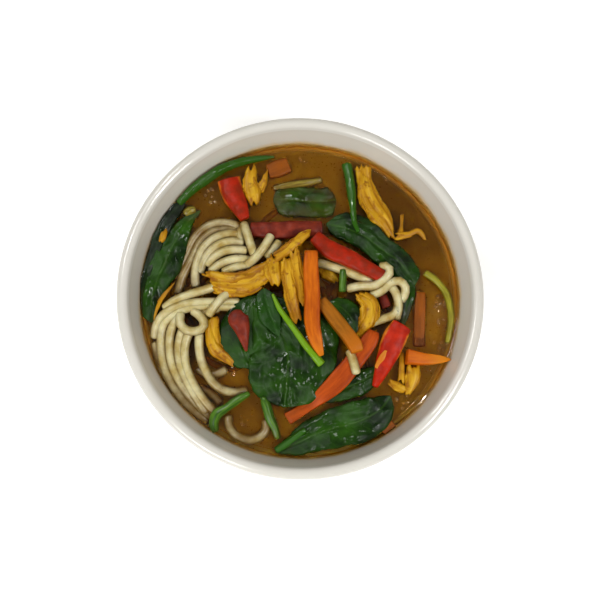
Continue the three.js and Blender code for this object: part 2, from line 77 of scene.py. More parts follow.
# The radius inside which the wall takes the soup's stain and the painted inner shade, and the heights between
# which the stain fades
STAIN_AND_SHADE_RADIUS = RIM_RADIUS - LIP_THICKNESS - 0.2
STAIN_FADE = (56.4, 59.6)
# The shallow broth over the wall: the radii between which it pales, and the span towards the front over which
# painted shade takes that paleness away again
SHALLOW_RADII = (66.0, 67.4)
SHALLOW_FRONT_SHADE = (-60, -25)
# Patches where the broth is painted darker: (x, y), the distances over which that fades, and its strength.
# Those at the back left and the front left are painted shade; the one at the back right only makes the broth
# darker there.
DARKER_BROTH_SPOTS = [(48, 38, 14, 40, 0.65), (-36, 42, 4, 22, 0.42), (-24, -52, 4, 20, 0.3)]
# How strongly the broth takes up light, per metre
BROTH_DENSITY = 840.0

INNER_WALL = [
    (RIM_RADIUS - LIP_THICKNESS, RIM_HEIGHT - LIP_ROUND),
    (BROTH_RADIUS + 0.3, BROTH_LEVEL),
    (63, 38),
    (54, 21.5),
    (38, 10.5),
    (0, FLOOR_HEIGHT),
]
OUTER_WALL = [
    (FOOT_RADIUS + 1.5, 5.5),
    (55, 16.5),
    (66.5, 33),
    (73, 48),
    (RIM_RADIUS, RIM_HEIGHT - LIP_ROUND),
]

# ---- the noodles ------------------------------------------------------------------------------------

STRANDS = [
    # nested arches at the back left, outermost first
    [
        (-26, 30, 55), (-29, 31.8, 55.5), (-36, 32.6, 55.4), (-42, 30, 55), (-46, 25.7, 54.8),
        (-48.5, 20.7, 54.6), (-51, 15, 54.4), (-55, 8, 54),
    ],
    [
        (-27, 28.4, 55.5), (-33, 29.3, 55.6), (-39, 28, 55.4), (-43.5, 23.6, 55.3), (-46, 17.8, 55.4),
        (-49, 12, 55.4), (-51.3, 6.8, 55), (-52.4, 0.8, 54.5),
    ],
    [
        (-25.7, 26.8, 56.5), (-31, 27.4, 57.3), (-36.8, 25.5, 57.4), (-41.4, 21.6, 57.3), (-44, 16.4, 57.2),
        (-45.2, 10.3, 57), (-44.9, 3.4, 56),
    ],
    [
        (-24.2, 23.5, 57.2), (-30.3, 23.7, 58), (-35.4, 22.2, 58), (-39, 19.2, 57.8), (-41.8, 14.9, 57.4),
        (-43.2, 9.9, 56.5),
    ],
    [(-22.8, 19.8, 57.8), (-28.4, 20, 58.4), (-33.5, 19.1, 58.4), (-37.6, 16.5, 58), (-40.6, 13, 57.4)],
    [(-21, 15.4, 58), (-26.5, 15.9, 58.8), (-31.5, 15, 58.8), (-35.7, 12.9, 58.4), (-39, 10, 58)],
    [(-19.9, 12.8, 58.4), (-25, 12.8, 59), (-30, 11.4, 59), (-33.8, 9.8, 58.6)],
    # short lengths over the arches' right ends
    [(-24.8, 32.3, 56.6), (-23.3, 27.5, 59.4), (-21.6, 22, 60.2), (-19.7, 16.9, 60)],
    [(-12.6, 26.4, 60.4), (-15.8, 20.6, 61.4), (-19.5, 16, 61), (-23.6, 12.4, 60)],
    [(-9, 24, 58.6), (-12, 20, 59), (-15, 16.3, 58.6)],
    [(-24.3, 30.8, 55.8), (-26.6, 27.6, 57), (-25.4, 23.7, 57.4)],
    # across the middle and down the left wall
    [
        (-29, 4.5, 57.6), (-35.6, 3.9, 58.6), (-42, 1.7, 60), (-48, -0.3, 60.4), (-54, -3, 60),
        (-58.3, -6, 58.6),
    ],
    [
        (-26, -2.4, 57.4), (-32.3, -2.9, 58.6), (-38, -3.2, 60), (-46.3, -3.8, 60.6), (-53, -5.6, 60.6),
        (-58.2, -8.9, 59.8), (-61, -12.8, 58), (-62, -18.5, 56),
    ],
    [
        (-27, -5, 57.4), (-33.6, -4.8, 58.4), (-41, -5, 59.6), (-48.2, -6, 60), (-54, -8.5, 59.6),
        (-57.8, -12, 58.6), (-59, -16, 57.6), (-59, -22, 57), (-58, -28.7, 56.5), (-55.6, -35, 56),
        (-52, -41, 55.2), (-47.8, -46, 54.6), (-42.8, -50.4, 54), (-38.6, -53.5, 53.2),
    ],
    [
        (-50.4, -8, 59.6), (-53, -11.2, 59), (-55, -15.6, 58.2), (-55.4, -21.5, 57.6), (-54.6, -28, 57.2),
        (-52.2, -34.3, 56.8), (-48.7, -40, 56.2), (-44.6, -45, 55.4), (-40.5, -49.5, 54.4),
        (-36.8, -51.7, 53.4),
    ],
    [
        (-49.3, -12.9, 58.6), (-51, -18, 58.4), (-51.6, -23.4, 58), (-50.8, -29.3, 57.8),
        (-48.7, -34.8, 57.4), (-46, -40.2, 57), (-42.7, -45.6, 56), (-39.5, -50, 54.8),
    ],
    [
        (-47, -15.8, 59.6), (-48.7, -20.7, 59), (-49, -26.2, 58.6), (-47.8, -32, 58.2), (-45, -38, 57.6),
        (-41.8, -43, 57), (-38.2, -47.3, 55.8), (-34, -50.4, 54.4),
    ],
    [
        (-42.8, -16.2, 59.6), (-43, -21.2, 58.8), (-42.2, -27, 57.8), (-40, -32.4, 57.2), (-37, -37, 56.6),
        (-32.8, -40, 56), (-27.8, -41, 55.4), (-22.3, -40, 54.6),
    ],
    [
        (-50.8, -7.6, 60.4), (-51, -12, 61), (-49, -15, 61.4), (-45.2, -16, 61.6), (-41.6, -14.7, 61.2),
        (-41, -12, 61), (-43, -9, 60.6), (-46.3, -6.6, 60.2),
    ],
    [(-62, -19.4, 55.4), (-60.3, -25.7, 54.4), (-57.9, -33, 53.8), (-54.2, -39.4, 53.4)],
    [(-34.5, -5.2, 58.2), (-40, -7.2, 58.6), (-42.7, -10, 58.8)],
    [(-27, 4, 58), (-31.5, 0.5, 60), (-36, -4.5, 61.4), (-39.5, -9.5, 61)],
    # sunken lengths in the front left, and the loop that breaks the surface in front
    [(-44.5, -31, 53.4), (-38, -33.5, 54.2), (-31, -31.2, 54.6)],
    [(-44.4, -38.4, 52.6), (-38.8, -40.7, 53.2), (-33.3, -45.7, 52.8)],
    [
        (-30.5, -50.4, 54), (-30, -55, 54.6), (-27.2, -58.8, 54.8), (-21.9, -60.8, 54.8),
        (-17.2, -59.7, 54.8), (-14.4, -56.3, 54.6), (-14.9, -52.2, 54),
    ],
    # a loose tangle at the right
    [(6.8, 14.7, 58), (12.9, 13, 58.6), (19.8, 10.6, 58.6), (27.3, 7.7, 58), (33, 5.6, 57)],
    [
        (19.4, 3.3, 57.4), (25.3, 4.4, 59), (30.7, 4.2, 60.6), (35.3, 6.8, 61.6), (37.9, 10, 61.8),
        (36.8, 12.5, 61.2), (33.6, 12.7, 59.6),
    ],
    [
        (29.5, 0, 58.6), (34.5, 2.2, 59.8), (38.2, 5.4, 60.8), (41.9, 6.3, 61), (44.4, 4, 60.6),
        (44.3, 0.5, 59.4), (42.6, -2, 57.6),
    ],
    [(37.4, 5.2, 59.4), (40.3, 1.8, 59.6), (41.7, -2.8, 59.2), (41.5, -6.4, 58.6), (40.6, -10, 57.6)],
    [(42, -3.4, 58.8), (40, -7.7, 58.6), (35.5, -9.5, 58.2), (29.9, -11.5, 57.6), (24.9, -14, 57)],
    [(31.9, -9.7, 56.6), (28.2, -12.3, 56.4), (24.9, -15.3, 56)],
    # the cut end that looks out from under two carrot strips
    [(20.2, -23.3, 60.6), (21.8, -28, 61.6), (23.4, -34, 61.6)],
]
CORE_CENTRE = (-7, -6)
CORE_REACH = (53, 44)
CORE_LOW = 45
CORE_HIGH = 53.5
SUNKEN_STRANDS = 60

# ---- the toppings, lowest first: (x, y, z, width) along each piece, in millimetres ----------------------

# Each strip's tone, and its points
CARROTS = {
    "carrot_strip_05": ("sunk", [
        (52, 3, 53.4, 4), (51.5, -5.5, 53.2, 5), (51, -14.5, 52.8, 5), (51, -21, 52.4, 5),
    ]),
    "carrot_strip_06": ("sunk", [(-14.5, 56, 52.9, 6), (-10, 57.5, 53, 7.5), (-5, 59.5, 52.8, 7)]),
    "carrot_strip_07": ("sunk", [(34, -57, 53.6, 4.5), (39, -53, 53.6, 4.5)]),
    "carrot_strip_03": ("deep", [
        (31, -15, 58.8, 4.5), (29.5, -18.5, 58.8, 7), (22.5, -28, 58.4, 8), (16, -36, 58, 8.5),
        (10.5, -41, 57, 7), (5, -45.5, 55.2, 5), (-0.5, -49, 53.9, 5), (-5.5, -52, 52.8, 5.5),
    ]),
    "carrot_strip_04": ("pointed", [
        (44.5, -26, 59.4, 6.5), (52.5, -27, 58.8, 5), (59, -27, 58.2, 3.5), (64, -27, 57.6, 0.5),
    ]),
    "carrot_strip_02": ("dull", [
        (8, -2.5, 62.6, 5), (13, -9, 62.8, 6), (18, -15.5, 63.2, 6), (22.5, -22, 63.8, 6),
        (23.5, -25, 63.8, 5),
    ]),
    "carrot_strip_01": ("bright", [
        (4, 18, 66.2, 5.5), (4, 9, 66, 6.5), (4.5, -1.5, 65.6, 6.5), (4.5, -12.5, 65.2, 6.5),
        (6, -20, 64.6, 5.5), (8.5, -26.5, 64, 2),
    ]),
}

PEPPERS = {
    "pepper_strip_01": ("scarlet", [
        (-31.5, 52, 56, 10), (-29.5, 45, 56.6, 9.5), (-26.5, 39, 57, 7.5), (-24, 33.5, 57.2, 4),
    ]),
    "pepper_strip_02": ("maroon", [
        (-22, 29.5, 56.2, 6), (-12.5, 29, 56.6, 7.5), (-1.5, 29.5, 56.8, 7.5), (9.5, 30, 57, 6),
    ]),
    "pepper_strip_06": ("maroon", [(35, 1, 55.6, 4), (37, -4.5, 55.6, 4.5)]),
    "pepper_strip_04": ("bright", [
        (43, -12.4, 60, 8.5), (40, -17.5, 60.2, 10), (37.5, -23.5, 59.8, 9.5), (34.8, -30, 59, 7),
        (32.8, -35, 58, 4.5), (31.2, -38.7, 57.2, 2.5),
    ]),
    "pepper_strip_05": ("maroon", [
        (-26.6, -6.6, 61.4, 2), (-26.6, -10.3, 61.6, 8.6), (-25, -14.5, 61.4, 6.8), (-23.9, -19.5, 61, 3.8),
        (-23, -24.3, 60.6, 1),
    ]),
    "pepper_strip_03": ("scarlet", [
        (5.5, 25.5, 61.8, 5.5), (11.5, 20, 61.8, 7.5), (20, 16, 61.6, 7.5), (27.5, 12, 61.2, 6.5),
        (35, 8, 60.6, 5.5),
    ]),
}

# The sheets of fibres that make up each piece
CHICKEN = {
    "chicken_05": [
        [(-21.5, 57, 56.4, 4.5), (-22, 51.5, 56.4, 6), (-21, 46.5, 56.2, 8), (-20, 41, 55.6, 4)],
        [(-15, 55.5, 56.4, 1.5), (-16, 51, 56.4, 3), (-18, 47, 56.2, 4.5)],
    ],
    "chicken_06": [[
        (27.5, 58.5, 55.2, 6.5), (28, 51, 55.9, 7), (30, 43.5, 56.6, 9.5), (34, 36.5, 57, 9.5),
        (37.5, 31, 56.8, 6), (40, 26, 56.4, 1.5),
    ]],
    "chicken_07": [
        [(44.5, 37.5, 55.4, 1.5), (44, 32, 55.6, 1.5), (43.5, 28, 56, 3)],
        [(42, 27, 56, 4), (47, 28, 56.2, 2.5), (51, 29.5, 56, 2.5), (54.5, 26, 55.4, 1.5)],
    ],
    "chicken_10": [
        [(43, -23, 56.8, 2), (43, -30, 56.8, 2.5), (42.5, -37, 56.6, 3.5)],
        [(48, -29, 56.4, 5), (47.5, -35, 56.6, 6.5), (46, -39.5, 56.4, 4), (44.5, -42.5, 56, 2)],
        [(37.5, -36.5, 56.8, 2.5), (41, -38.5, 56.8, 4), (45, -40, 56.6, 3)],
    ],
    "chicken_08": [[
        (24.5, 0.5, 59.6, 3.5), (29, -4, 60, 8), (28.5, -10, 59.6, 8), (25.5, -15.5, 58.6, 4),
        (22.5, -19.5, 57.8, 1.5),
    ]],
    "chicken_09": [[
        (-37, -10, 58.8, 4.5), (-37.5, -16, 59, 6), (-36.5, -22, 58.6, 6), (-32.5, -26, 58, 4.5),
        (-28, -29.5, 57.2, 2),
    ]],
    "chicken_01": [
        [
            (-40.5, 9.5, 59.6, 3), (-32.5, 7, 61.2, 5), (-24, 7.5, 61.8, 5), (-17, 10.5, 62.2, 5.5),
            (-10.5, 13, 62.6, 5.5),
        ],
        [(-37, 3.5, 59.6, 5), (-29.5, 2, 60.4, 6), (-22, 2, 61.2, 5), (-17, 4.5, 61.6, 3.5)],
        [(-12, 16, 62.6, 5), (-12, 9.5, 63, 7.5), (-10.5, 3.5, 62.6, 4)],
        [
            (-38.5, 6.5, 59.2, 5), (-31, 5, 60.4, 8.5), (-23, 5, 61.1, 8), (-17, 7.5, 61.5, 7),
            (-12.5, 10, 61.9, 5),
        ],
    ],
    "chicken_04": [[(4, 27, 63.8, 2.5), (-1.5, 23, 64.2, 4.5), (-7, 18, 64, 5), (-11.5, 15, 63.4, 4)]],
    "chicken_03": [
        [(-6.5, 15, 64.2, 5), (-5.5, 7, 64, 6), (-4, -2.5, 63.4, 6), (-1.5, -12, 62.6, 4)],
        [(-3, 19, 64.4, 4), (-2, 10.5, 64.4, 5), (-0.5, 3, 64.1, 4), (0.5, -4.5, 63.5, 2)],
    ],
}

# Each stalk's or strip's kind, and its points
STEMS = {
    "onion_strip_01": ("onion", [
        (-12, 48.6, 54, 2.5), (-4.5, 50.2, 54.3, 3.6), (3, 51.3, 54.3, 3.6), (9.5, 52.8, 54.2, 2.8),
    ]),
    "onion_strip_02": ("onion", [(-50.5, 36, 55.6, 3), (-48.5, 37.5, 55.8, 4), (-45.5, 38.5, 55.6, 3)]),
    "spinach_stem_04": ("yellow", [
        (53.5, 11, 56.8, 3), (58.5, 7.5, 56.4, 3), (62.5, 2.5, 56, 3), (64.5, -5, 55.7, 3),
        (64.5, -11, 55.4, 3), (63, -19.5, 54.8, 2.5),
    ]),
    "spinach_stem_01": ("green", [
        (-21.5, -41.5, 58.6, 2), (-26, -44, 58.4, 3.5), (-31, -47.5, 57.8, 3.5), (-35.5, -50.5, 57, 4.5),
        (-36.5, -54.5, 56, 4), (-35.5, -57.5, 54.8, 3),
    ]),
    "spinach_stem_02": ("green", [
        (-16, -43, 58.4, 2.5), (-14.5, -47, 57.8, 4), (-13, -52, 57, 4), (-11, -56, 56, 3.5),
        (-9.5, -60.5, 54.8, 2.5),
    ]),
    "spinach_stem_03": ("green", [(18, 11.5, 59.8, 3), (17.5, 1.5, 60, 3)]),
}

# The pale rib that was left on one pepper strip
PEPPER_RIBS = {
    "pepper_strip_04": [(35.8, -23.8, 62.8, 1.6), (33.9, -27.2, 62.3, 2.8), (31.4, -31.2, 61.1, 1.8)],
}

# Bits too small to be pieces of their own: a shred along the left noodles, a crumb on the left leaf and one
# sunken under the tangle at the right
CRUMBS = [
    [(-54.2, 4.2, 60.2, 0.8), (-57.6, 0, 60.6, 1.6), (-60.4, -4.9, 59.8, 1.6), (-62, -10, 58.4, 0.8)],
    [(-58.2, 28, 59.4, 2), (-59.1, 25, 59.6, 2.8), (-60, 22.4, 59.4, 1.8)],
    [(8, 13.5, 54.6, 4), (12, 10.3, 54.8, 6), (16, 7, 54.4, 3)],
]

# Patches of oil on the broth: (x, y) of the middle, reach and number of drops
OIL_PATCHES = [
    ((60, -2), 3, 9),
    ((60.5, -13), 4, 12),
    ((58.5, -21), 3, 6),
    ((50, -3), 2, 4),
    ((54.5, -29.5), 2.5, 5),
    ((43.5, -44.5), 3, 7),
    ((-9.5, 60), 2.5, 4),
    ((-38.3, 44.6), 3.5, 9),
    ((37.2, 53.5), 1.5, 2),
    ((-30, -32), 2.5, 3),
    ((-34.4, -43.4), 2, 2),
    ((-22, -52), 4, 7),
    ((2, 60), 4, 4),
    ((-12, -54), 2.5, 4),
]
OIL_BEAD = 0.16
OIL_DROP = 0.55
OIL_FLATNESS = 0.16

# (x, y, z, reach to the left, reach to the right) along each midrib, seen from its base
LEAVES = {
    "spinach_leaf_03": [
        (-12, 43.5, 55.2, 5.5, 5.5), (-5.5, 43.2, 55.8, 7, 7.5), (2, 42.5, 56, 6.5, 7),
        (9, 42.5, 55.9, 6.5, 7), (15.5, 43.5, 55.5, 6, 6.5),
    ],
    "spinach_leaf_01": [
        (-50, 42, 56.8, 1.5, 1.5), (-56, 36, 57.2, 3.5, 3), (-60, 28.5, 57.6, 3.5, 3.5),
        (-62.5, 20.5, 57.6, 2.5, 2.5), (-65.5, 11, 57.2, 2, 2), (-67.5, 1.5, 56.4, 1, 1.5),
        (-68, -6, 55.8, 0.5, 1),
    ],
    "spinach_leaf_02": [
        (-43.5, 38, 55.8, 1, 1), (-48, 33.5, 56.2, 2, 3), (-52.5, 26.5, 56.8, 5, 5), (-56, 20, 57.2, 7, 6),
        (-59, 13, 57.3, 7, 6.5), (-61.5, 6, 57.2, 5.5, 5), (-63.5, -1, 56.8, 4.5, 4),
        (-63.5, -7.5, 56.2, 3, 4.5), (-63.5, -11.5, 55.8, 1.5, 2),
    ],
    "spinach_leaf_10": [
        (48.5, 7.5, 56.8, 1.5, 1.5), (46.5, 1.5, 56.6, 3, 2.5), (45.5, -4, 56.2, 2.5, 2.5),
        (44.5, -9, 55.6, 1.5, 2), (43.5, -12.5, 55.2, 1, 1),
    ],
    "spinach_leaf_04": [
        (11, 32, 58, 2, 2.5), (18, 30, 58.6, 7.5, 5), (26, 27, 59, 8, 5.5), (34.5, 21, 58.9, 6, 6),
        (42.5, 15, 58.3, 6, 7), (47.5, 8.5, 57.4, 5, 4), (49.5, 5.5, 56.8, 2, 1.5),
    ],
    "spinach_leaf_09": [
        (9.5, -44.5, 56.6, 2, 2), (17.5, -40, 57.2, 5, 4.5), (25, -36.5, 57.6, 5.5, 5.5),
        (31.5, -33, 57.4, 3.5, 3.5), (34.5, -32, 57, 1.5, 1.5),
    ],
    "spinach_leaf_08": [
        (-10.5, -66, 56.2, 1.5, 1), (-2, -62.5, 57, 5, 5), (7.5, -58, 58.2, 7.5, 7.5),
        (16, -55.5, 59, 8.5, 8.5), (25, -53, 59.2, 8.5, 9), (33, -48.5, 58.8, 7, 7), (38, -42.5, 57.8, 2, 2),
    ],
    "spinach_leaf_05": [
        (-20.5, -31, 58, 2.5, 2.5), (-23.5, -24.5, 58.9, 8.5, 8), (-24.5, -16, 59.6, 10.5, 9),
        (-23, -8, 59.6, 8, 8), (-19.5, 0, 59.2, 2.5, 2.5),
    ],
    "spinach_leaf_07": [
        (12, -3, 59.8, 2.5, 2.5), (17.5, -5.5, 60, 5, 5), (22, -10.5, 59.8, 5.5, 4.5),
        (23, -16, 59.4, 1.5, 1.5),
    ],
    "spinach_leaf_06": [
        (-17.5, -0.5, 60.2, 3.5, 4), (-12.5, -9.5, 60.6, 13, 9.5), (-7, -19.5, 60.8, 22.5, 15),
        (-5.5, -28, 60.6, 21, 16.5), (-6, -36.5, 60, 17, 16), (-6.5, -43, 59.2, 13, 13),
        (-7, -47.5, 58.6, 6, 6),
    ],
    "spinach_leaf_11": [
        (-15.7, 2.5, 62.4, 2.5, 2.5), (-15, -2.5, 62.8, 5, 4.5), (-13, -9, 63, 5, 5),
        (-10.3, -15.5, 62.8, 2, 2.5), (-9.3, -18, 62.6, 1, 1),
    ],
}

# The stalks that some of those leaves grew on
STALKS = {
    "spinach_leaf_01": [
        (-11.5, 62.5, 55.6, 1), (-18, 61.5, 56.4, 2.5), (-25, 60, 56.9, 3.5), (-33, 57, 57.2, 4),
        (-40, 52.5, 57.2, 4.5), (-47, 47, 57, 4), (-53, 40.5, 56.8, 3),
    ],
    "spinach_leaf_04": [
        (20, 59.5, 56, 4.5), (21, 54, 56.9, 4), (22, 46.5, 57.8, 4), (22.5, 40, 58.8, 3), (23, 33, 59.1, 2.5),
        (25, 28, 59.2, 2),
    ],
    "spinach_leaf_08": [(-10.5, -65.5, 56.2, 3), (-6, -62.5, 57, 3), (2, -56.5, 58, 2.5)],
    "spinach_leaf_11": [
        (-12.2, 0, 62.8, 1.2), (-9.2, -6.5, 63.6, 2.2), (-4, -13.8, 63.8, 2.6), (1.2, -21, 63.8, 3),
        (8.6, -30.2, 63.2, 3.5),
    ],
}


# ---- routes and the sections carried along them --------------------------------------------------------


def hermite(b, c, leave, arrive, t):
    """A point on the curve from b to c that has those slopes at its ends."""
    bend = 3 * (c - b) - 2 * leave - arrive
    settle = 2 * (b - c) + leave + arrive
    return b + t * (leave + t * (bend + t * settle))


def catmull(a, b, c, d, t):
    """A point between b and c on the centripetal curve through four points."""
    first, second, third = (max((q - p).length, 1e-4) ** 0.5 for p, q in ((a, b), (b, c), (c, d)))
    leave = ((b - a) / first - (c - a) / (first + second) + (c - b) / second) * second
    arrive = ((c - b) / second - (d - b) / (second + third) + (d - c) / third) * second
    return hermite(b, c, leave, arrive, t)


class Route:
    """A smooth curve through a few points, each with the sizes that hold there, and the frame at any distance
    along it, in millimetres."""

    SAMPLES = 24

    def __init__(self, points):
        knots = [Vector(point) for point in points]
        knots = [2 * knots[0] - knots[1], *knots, 2 * knots[-1] - knots[-2]]
        self.line = [knots[1]]
        for a, b, c, d in zip(knots, knots[1:], knots[2:], knots[3:]):
            self.line += [catmull(a, b, c, d, (i + 1) / self.SAMPLES) for i in range(self.SAMPLES)]
        self.reach = [0.0]
        for start, end in zip(self.line, self.line[1:]):
            self.reach.append(self.reach[-1] + (end - start).to_3d().length)
        self.length = self.reach[-1]

    def heading(self, i):
        return (self.line[min(i + 1, len(self.line) - 1)] - self.line[max(i - 1, 0)]).to_3d()

    def frame(self, distance):
        """The place, the level direction to the left, the direction up and the sizes. Past its ends the curve
        runs on straight."""
        i = min(max(bisect_right(self.reach, distance) - 1, 0), len(self.line) - 2)
        part = (distance - self.reach[i]) / (self.reach[i + 1] - self.reach[i])
        spot = self.line[i].lerp(self.line[i + 1], part)
        along = self.heading(i).lerp(self.heading(i + 1), min(max(part, 0), 1)).normalized()
        across = Vector((0, 0, 1)).cross(along).normalized()
        return spot.to_3d(), across, along.cross(across), spot[3:]


def stations(length, steps, rounding):
    """(distance, size) of each ring of a swept piece, with closer rings where its two ends round off."""
    turns = 4
    lead = []
    for k in range(1, turns):
        angle = math.pi / 2 * k / turns
        lead.append((rounding * (1 - math.cos(angle)), math.sin(angle)))
    middle = [(rounding + (length - 2 * rounding) * k / steps, 1) for k in range(steps + 1)]
    return [*lead, *middle, *((length - distance, size) for distance, size in reversed(lead))]


def column(sides, rings):
    """An upright closed tube of that many sides, with a ring of corners at every whole height."""
    bm = bmesh.new()
    bmesh.ops.create_cone(
        bm, cap_ends=True, cap_tris=False, segments=sides, radius1=1, radius2=1, depth=rings,
        matrix=Matrix.Translation((0, 0, rings / 2)),
    )
    bmesh.ops.poke(bm, faces=[face for face in bm.faces if len(face.verts) == sides])
    upright = [edge for edge in bm.edges if abs(edge.verts[0].co.z - edge.verts[1].co.z) > rings / 2]
    bmesh.ops.subdivide_edges(bm, edges=upright, cuts=rings - 1, use_grid_fill=True)
    return bm


def swept(points, section, sides, steps, rounding, fray=0):
    """A section carried along a route. `section` gives the offset for an angle and a distance, from the sizes
    there. `fray` is how unevenly the ends run out."""
    route = Route(points)
    rings = stations(route.length, steps, min(rounding, route.length / 3))
    bm = column(sides, len(rings) - 1)
    grain = bm.verts.layers.float_vector.new("grain")
    frames = [route.frame(distance) for distance, _ in rings]
    for vert in bm.verts:
        ring = round(vert.co.z)
        distance, size = rings[ring]
        place, across, up, sizes = frames[ring]
        if vert.co.xy.length > 0.5:
            x, y = section(math.atan2(vert.co.y, vert.co.x), distance, *sizes)
        else:
            x, y = 0, 0
        uneven = lumps((x * size, place.x, 5 * ring / len(rings)), 1.3)
        slide = fray * uneven * abs(2 * ring / len(rings) - 1) ** 6
        vert[grain] = Vector((x, y, distance)) * MM
        vert.co = (place + across * x * size + up * y * size + across.cross(up) * slide) * MM
    return bm


def merged(parts):
    """One bmesh of several, each of which is freed."""
    whole = bmesh.new()
    for part in parts:
        held = bpy.data.meshes.new("held")
        part.to_mesh(held)
        part.free()
        whole.from_mesh(held)
        bpy.data.meshes.remove(held)
    return whole


def squared(angle, power):
    """A corner of a unit square whose corners are rounded: the higher the power, the sharper they are."""
    c, s = math.cos(angle), math.sin(angle)
    return math.copysign(abs(c) ** (2 / power), c), math.copysign(abs(s) ** (2 / power), s)


def lumps(point, size):
    """Smooth noise from -1 to 1 that changes over `size` millimetres."""
    return noise.noise(Vector(point) / size)


# ---- pieces -------------------------------------------------------------------------------------------


def finish_piece(name, bm, material, nodes):
    """Closes a bmesh into an object that rides on the bowl and stands for its CAD nodes."""
    bmesh.ops.recalc_face_normals(bm, faces=bm.faces)
    for face in bm.faces:
        face.smooth = True
    mesh = bpy.data.meshes.new(name)
    bm.to_mesh(mesh)
    bm.free()
    mesh.materials.append(material)
    piece = bpy.data.objects.new(name, mesh)
    bpy.context.scene.collection.objects.link(piece)
    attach(piece, BODY)
    if nodes:
        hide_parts(*nodes)


def spun(bm, geom):
    """Spins a profile once round the bowl's axis."""
    bmesh.ops.spin(
        bm, geom=geom, cent=(0, 0, 0), axis=(0, 0, 1), angle=2 * math.pi, steps=TURN_STEPS, use_merge=True
    )


def turned(profile):
    """A closed solid of revolution from (radius, height) pairs, from the axis round to the axis."""
    bm = bmesh.new()
    verts = [bm.verts.new(Vector((radius, 0, height)) * MM) for radius, height in profile]
    edges = [bm.edges.new(pair) for pair in zip(verts, verts[1:])]
    spun(bm, verts + edges)
    bmesh.ops.remove_doubles(bm, verts=bm.verts, dist=0.001 * MM)
    return bm


def spline(points, steps):
    """Points on a smooth wall profile."""
    knots = [Vector((x, 0, z)) for x, z in points]
    knots = [knots[0], *knots, knots[-1]]
    line = []
    for a, b, c, d in zip(knots, knots[1:], knots[2:], knots[3:]):
        for i in range(steps):
            p = hermite(b, c, (c - a) / 2, (d - b) / 2, i / steps)
            line.append((max(p.x, 0), p.z))
    line.append(points[-1])
    return line


WALL = spline(INNER_WALL, 12)


def wall_radius(height):
    """The radius of the bowl's inner wall at a height."""
    for (r0, z0), (r1, z1) in zip(WALL, WALL[1:]):
        if z1 <= height <= z0:
            return r1 + (r0 - r1) * (height - z1) / max(z0 - z1, 1e-6)
    return WALL[0][0]


def bowl_mesh():
    foot_inner = FOOT_RADIUS - FOOT_WIDTH
    edge = 0.6
    foot = [
        (0, FOOT_RECESS), (foot_inner - 1.4, FOOT_RECESS), (foot_inner - 0.7, FOOT_RECESS - 0.5),
        (foot_inner - 0.2, edge), (foot_inner + edge, 0), (FOOT_RADIUS - edge, 0), (FOOT_RADIUS, edge),
        (FOOT_RADIUS + 0.2, FOOT_RECESS),
    ]
    middle = RIM_RADIUS - LIP_THICKNESS / 2
    lip_steps = 14
    lip = []
    for i in range(1, lip_steps - 1):
        angle = math.pi * i / lip_steps
        height = RIM_HEIGHT - LIP_ROUND + LIP_ROUND * math.sin(angle)
        lip.append((middle + LIP_THICKNESS / 2 * math.cos(angle), height))
    return turned([*foot, *spline(OUTER_WALL, 8), *lip, *spline(INNER_WALL, 10)[2:]])


def broth_mesh():
    """The clear upper layer. It laps into the glaze, so that no air shows between them."""
    lap = 0.12
    low = BROTH_LEVEL - 9
    wall_steps = 10
    top = BROTH_LEVEL + MENISCUS_RISE
    heights = [low + (top - low) * i / wall_steps for i in range(wall_steps + 1)]
    profile = [(0, low), *((wall_radius(height) + lap, height) for height in heights)]
    edge = wall_radius(top)
    climb_steps = 8
    for i in range(1, climb_steps + 1):
        part = i / climb_steps
        profile.append((edge - MENISCUS_REACH * part, BROTH_LEVEL + MENISCUS_RISE * (1 - part) ** 2.5))
    profile += [(radius, BROTH_LEVEL) for radius in (60, 50, 40, 30, 20, 10, 0)]
    return turned(profile)


def depths_mesh():
    """The cloudy broth below the clear layer, down to the bowl's floor. It rises along the wall."""
    top = BROTH_LEVEL - CLEAR_DEPTH
    shelf = top + SHELF_RISE
    edge = wall_radius(shelf - 0.5) - 0.1
    shoulder = [
        (0, top), (40, top), (64, top), (65.8, top + 0.2), (edge - 0.5, shelf), (edge - 0.1, shelf - 0.15),
    ]
    shoulder.append((edge, shelf - 0.5))
    wall = [(radius - 0.1, height + 0.1) for radius, height in spline(INNER_WALL, 6) if height < shelf - 1.5]
    return turned([*shoulder, *[(max(radius, 0), height) for radius, height in wall]])


def oil_mesh():
    """The oil that floats on the broth: a fine bead a little inside its edge, and flat drops in patches."""
    rng = random.Random(5)
    bm = bmesh.new()
    bead = Matrix.Translation(Vector((BROTH_RADIUS - MENISCUS_REACH, 0, BROTH_LEVEL)) * MM)
    upright = Matrix.Rotation(math.pi / 2, 4, "X")
    bmesh.ops.create_circle(bm, segments=8, radius=OIL_BEAD * MM, matrix=bead @ upright)
    spun(bm, bm.verts[:] + bm.edges[:])
    for (x, y), reach, count in OIL_PATCHES:
        for _ in range(count):
            turn = rng.uniform(0, 2 * math.pi)
            out = reach * math.sqrt(rng.random())
            place = Vector((x + out * math.cos(turn), y + out * math.sin(turn), BROTH_LEVEL)) * MM
            size = OIL_DROP * rng.uniform(0.5, 1.5)
            flat = Matrix.Diagonal((1, 1, OIL_FLATNESS, 1))
            bmesh.ops.create_uvsphere(
                bm, u_segments=14, v_segments=8, radius=size * MM, matrix=Matrix.Translation(place) @ flat,
            )
    return bm


def strand_mesh(points, diameter, sides=12, step=2.2):
    """One noodle: round, very slightly uneven, with a cut end that is just softened."""
    start = points[0]

    def section(angle, distance):
        seed = (start[0] + distance, start[1] + 3 * math.cos(angle), start[2] + 3 * math.sin(angle))
        radius = diameter / 2 * (1 + 0.035 * lumps(seed, 5))
        return radius * math.cos(angle), radius * math.sin(angle)

    steps = max(round(Route(points).length / step), 3)
    return swept(points, section, sides, steps, rounding=0.3 * diameter)


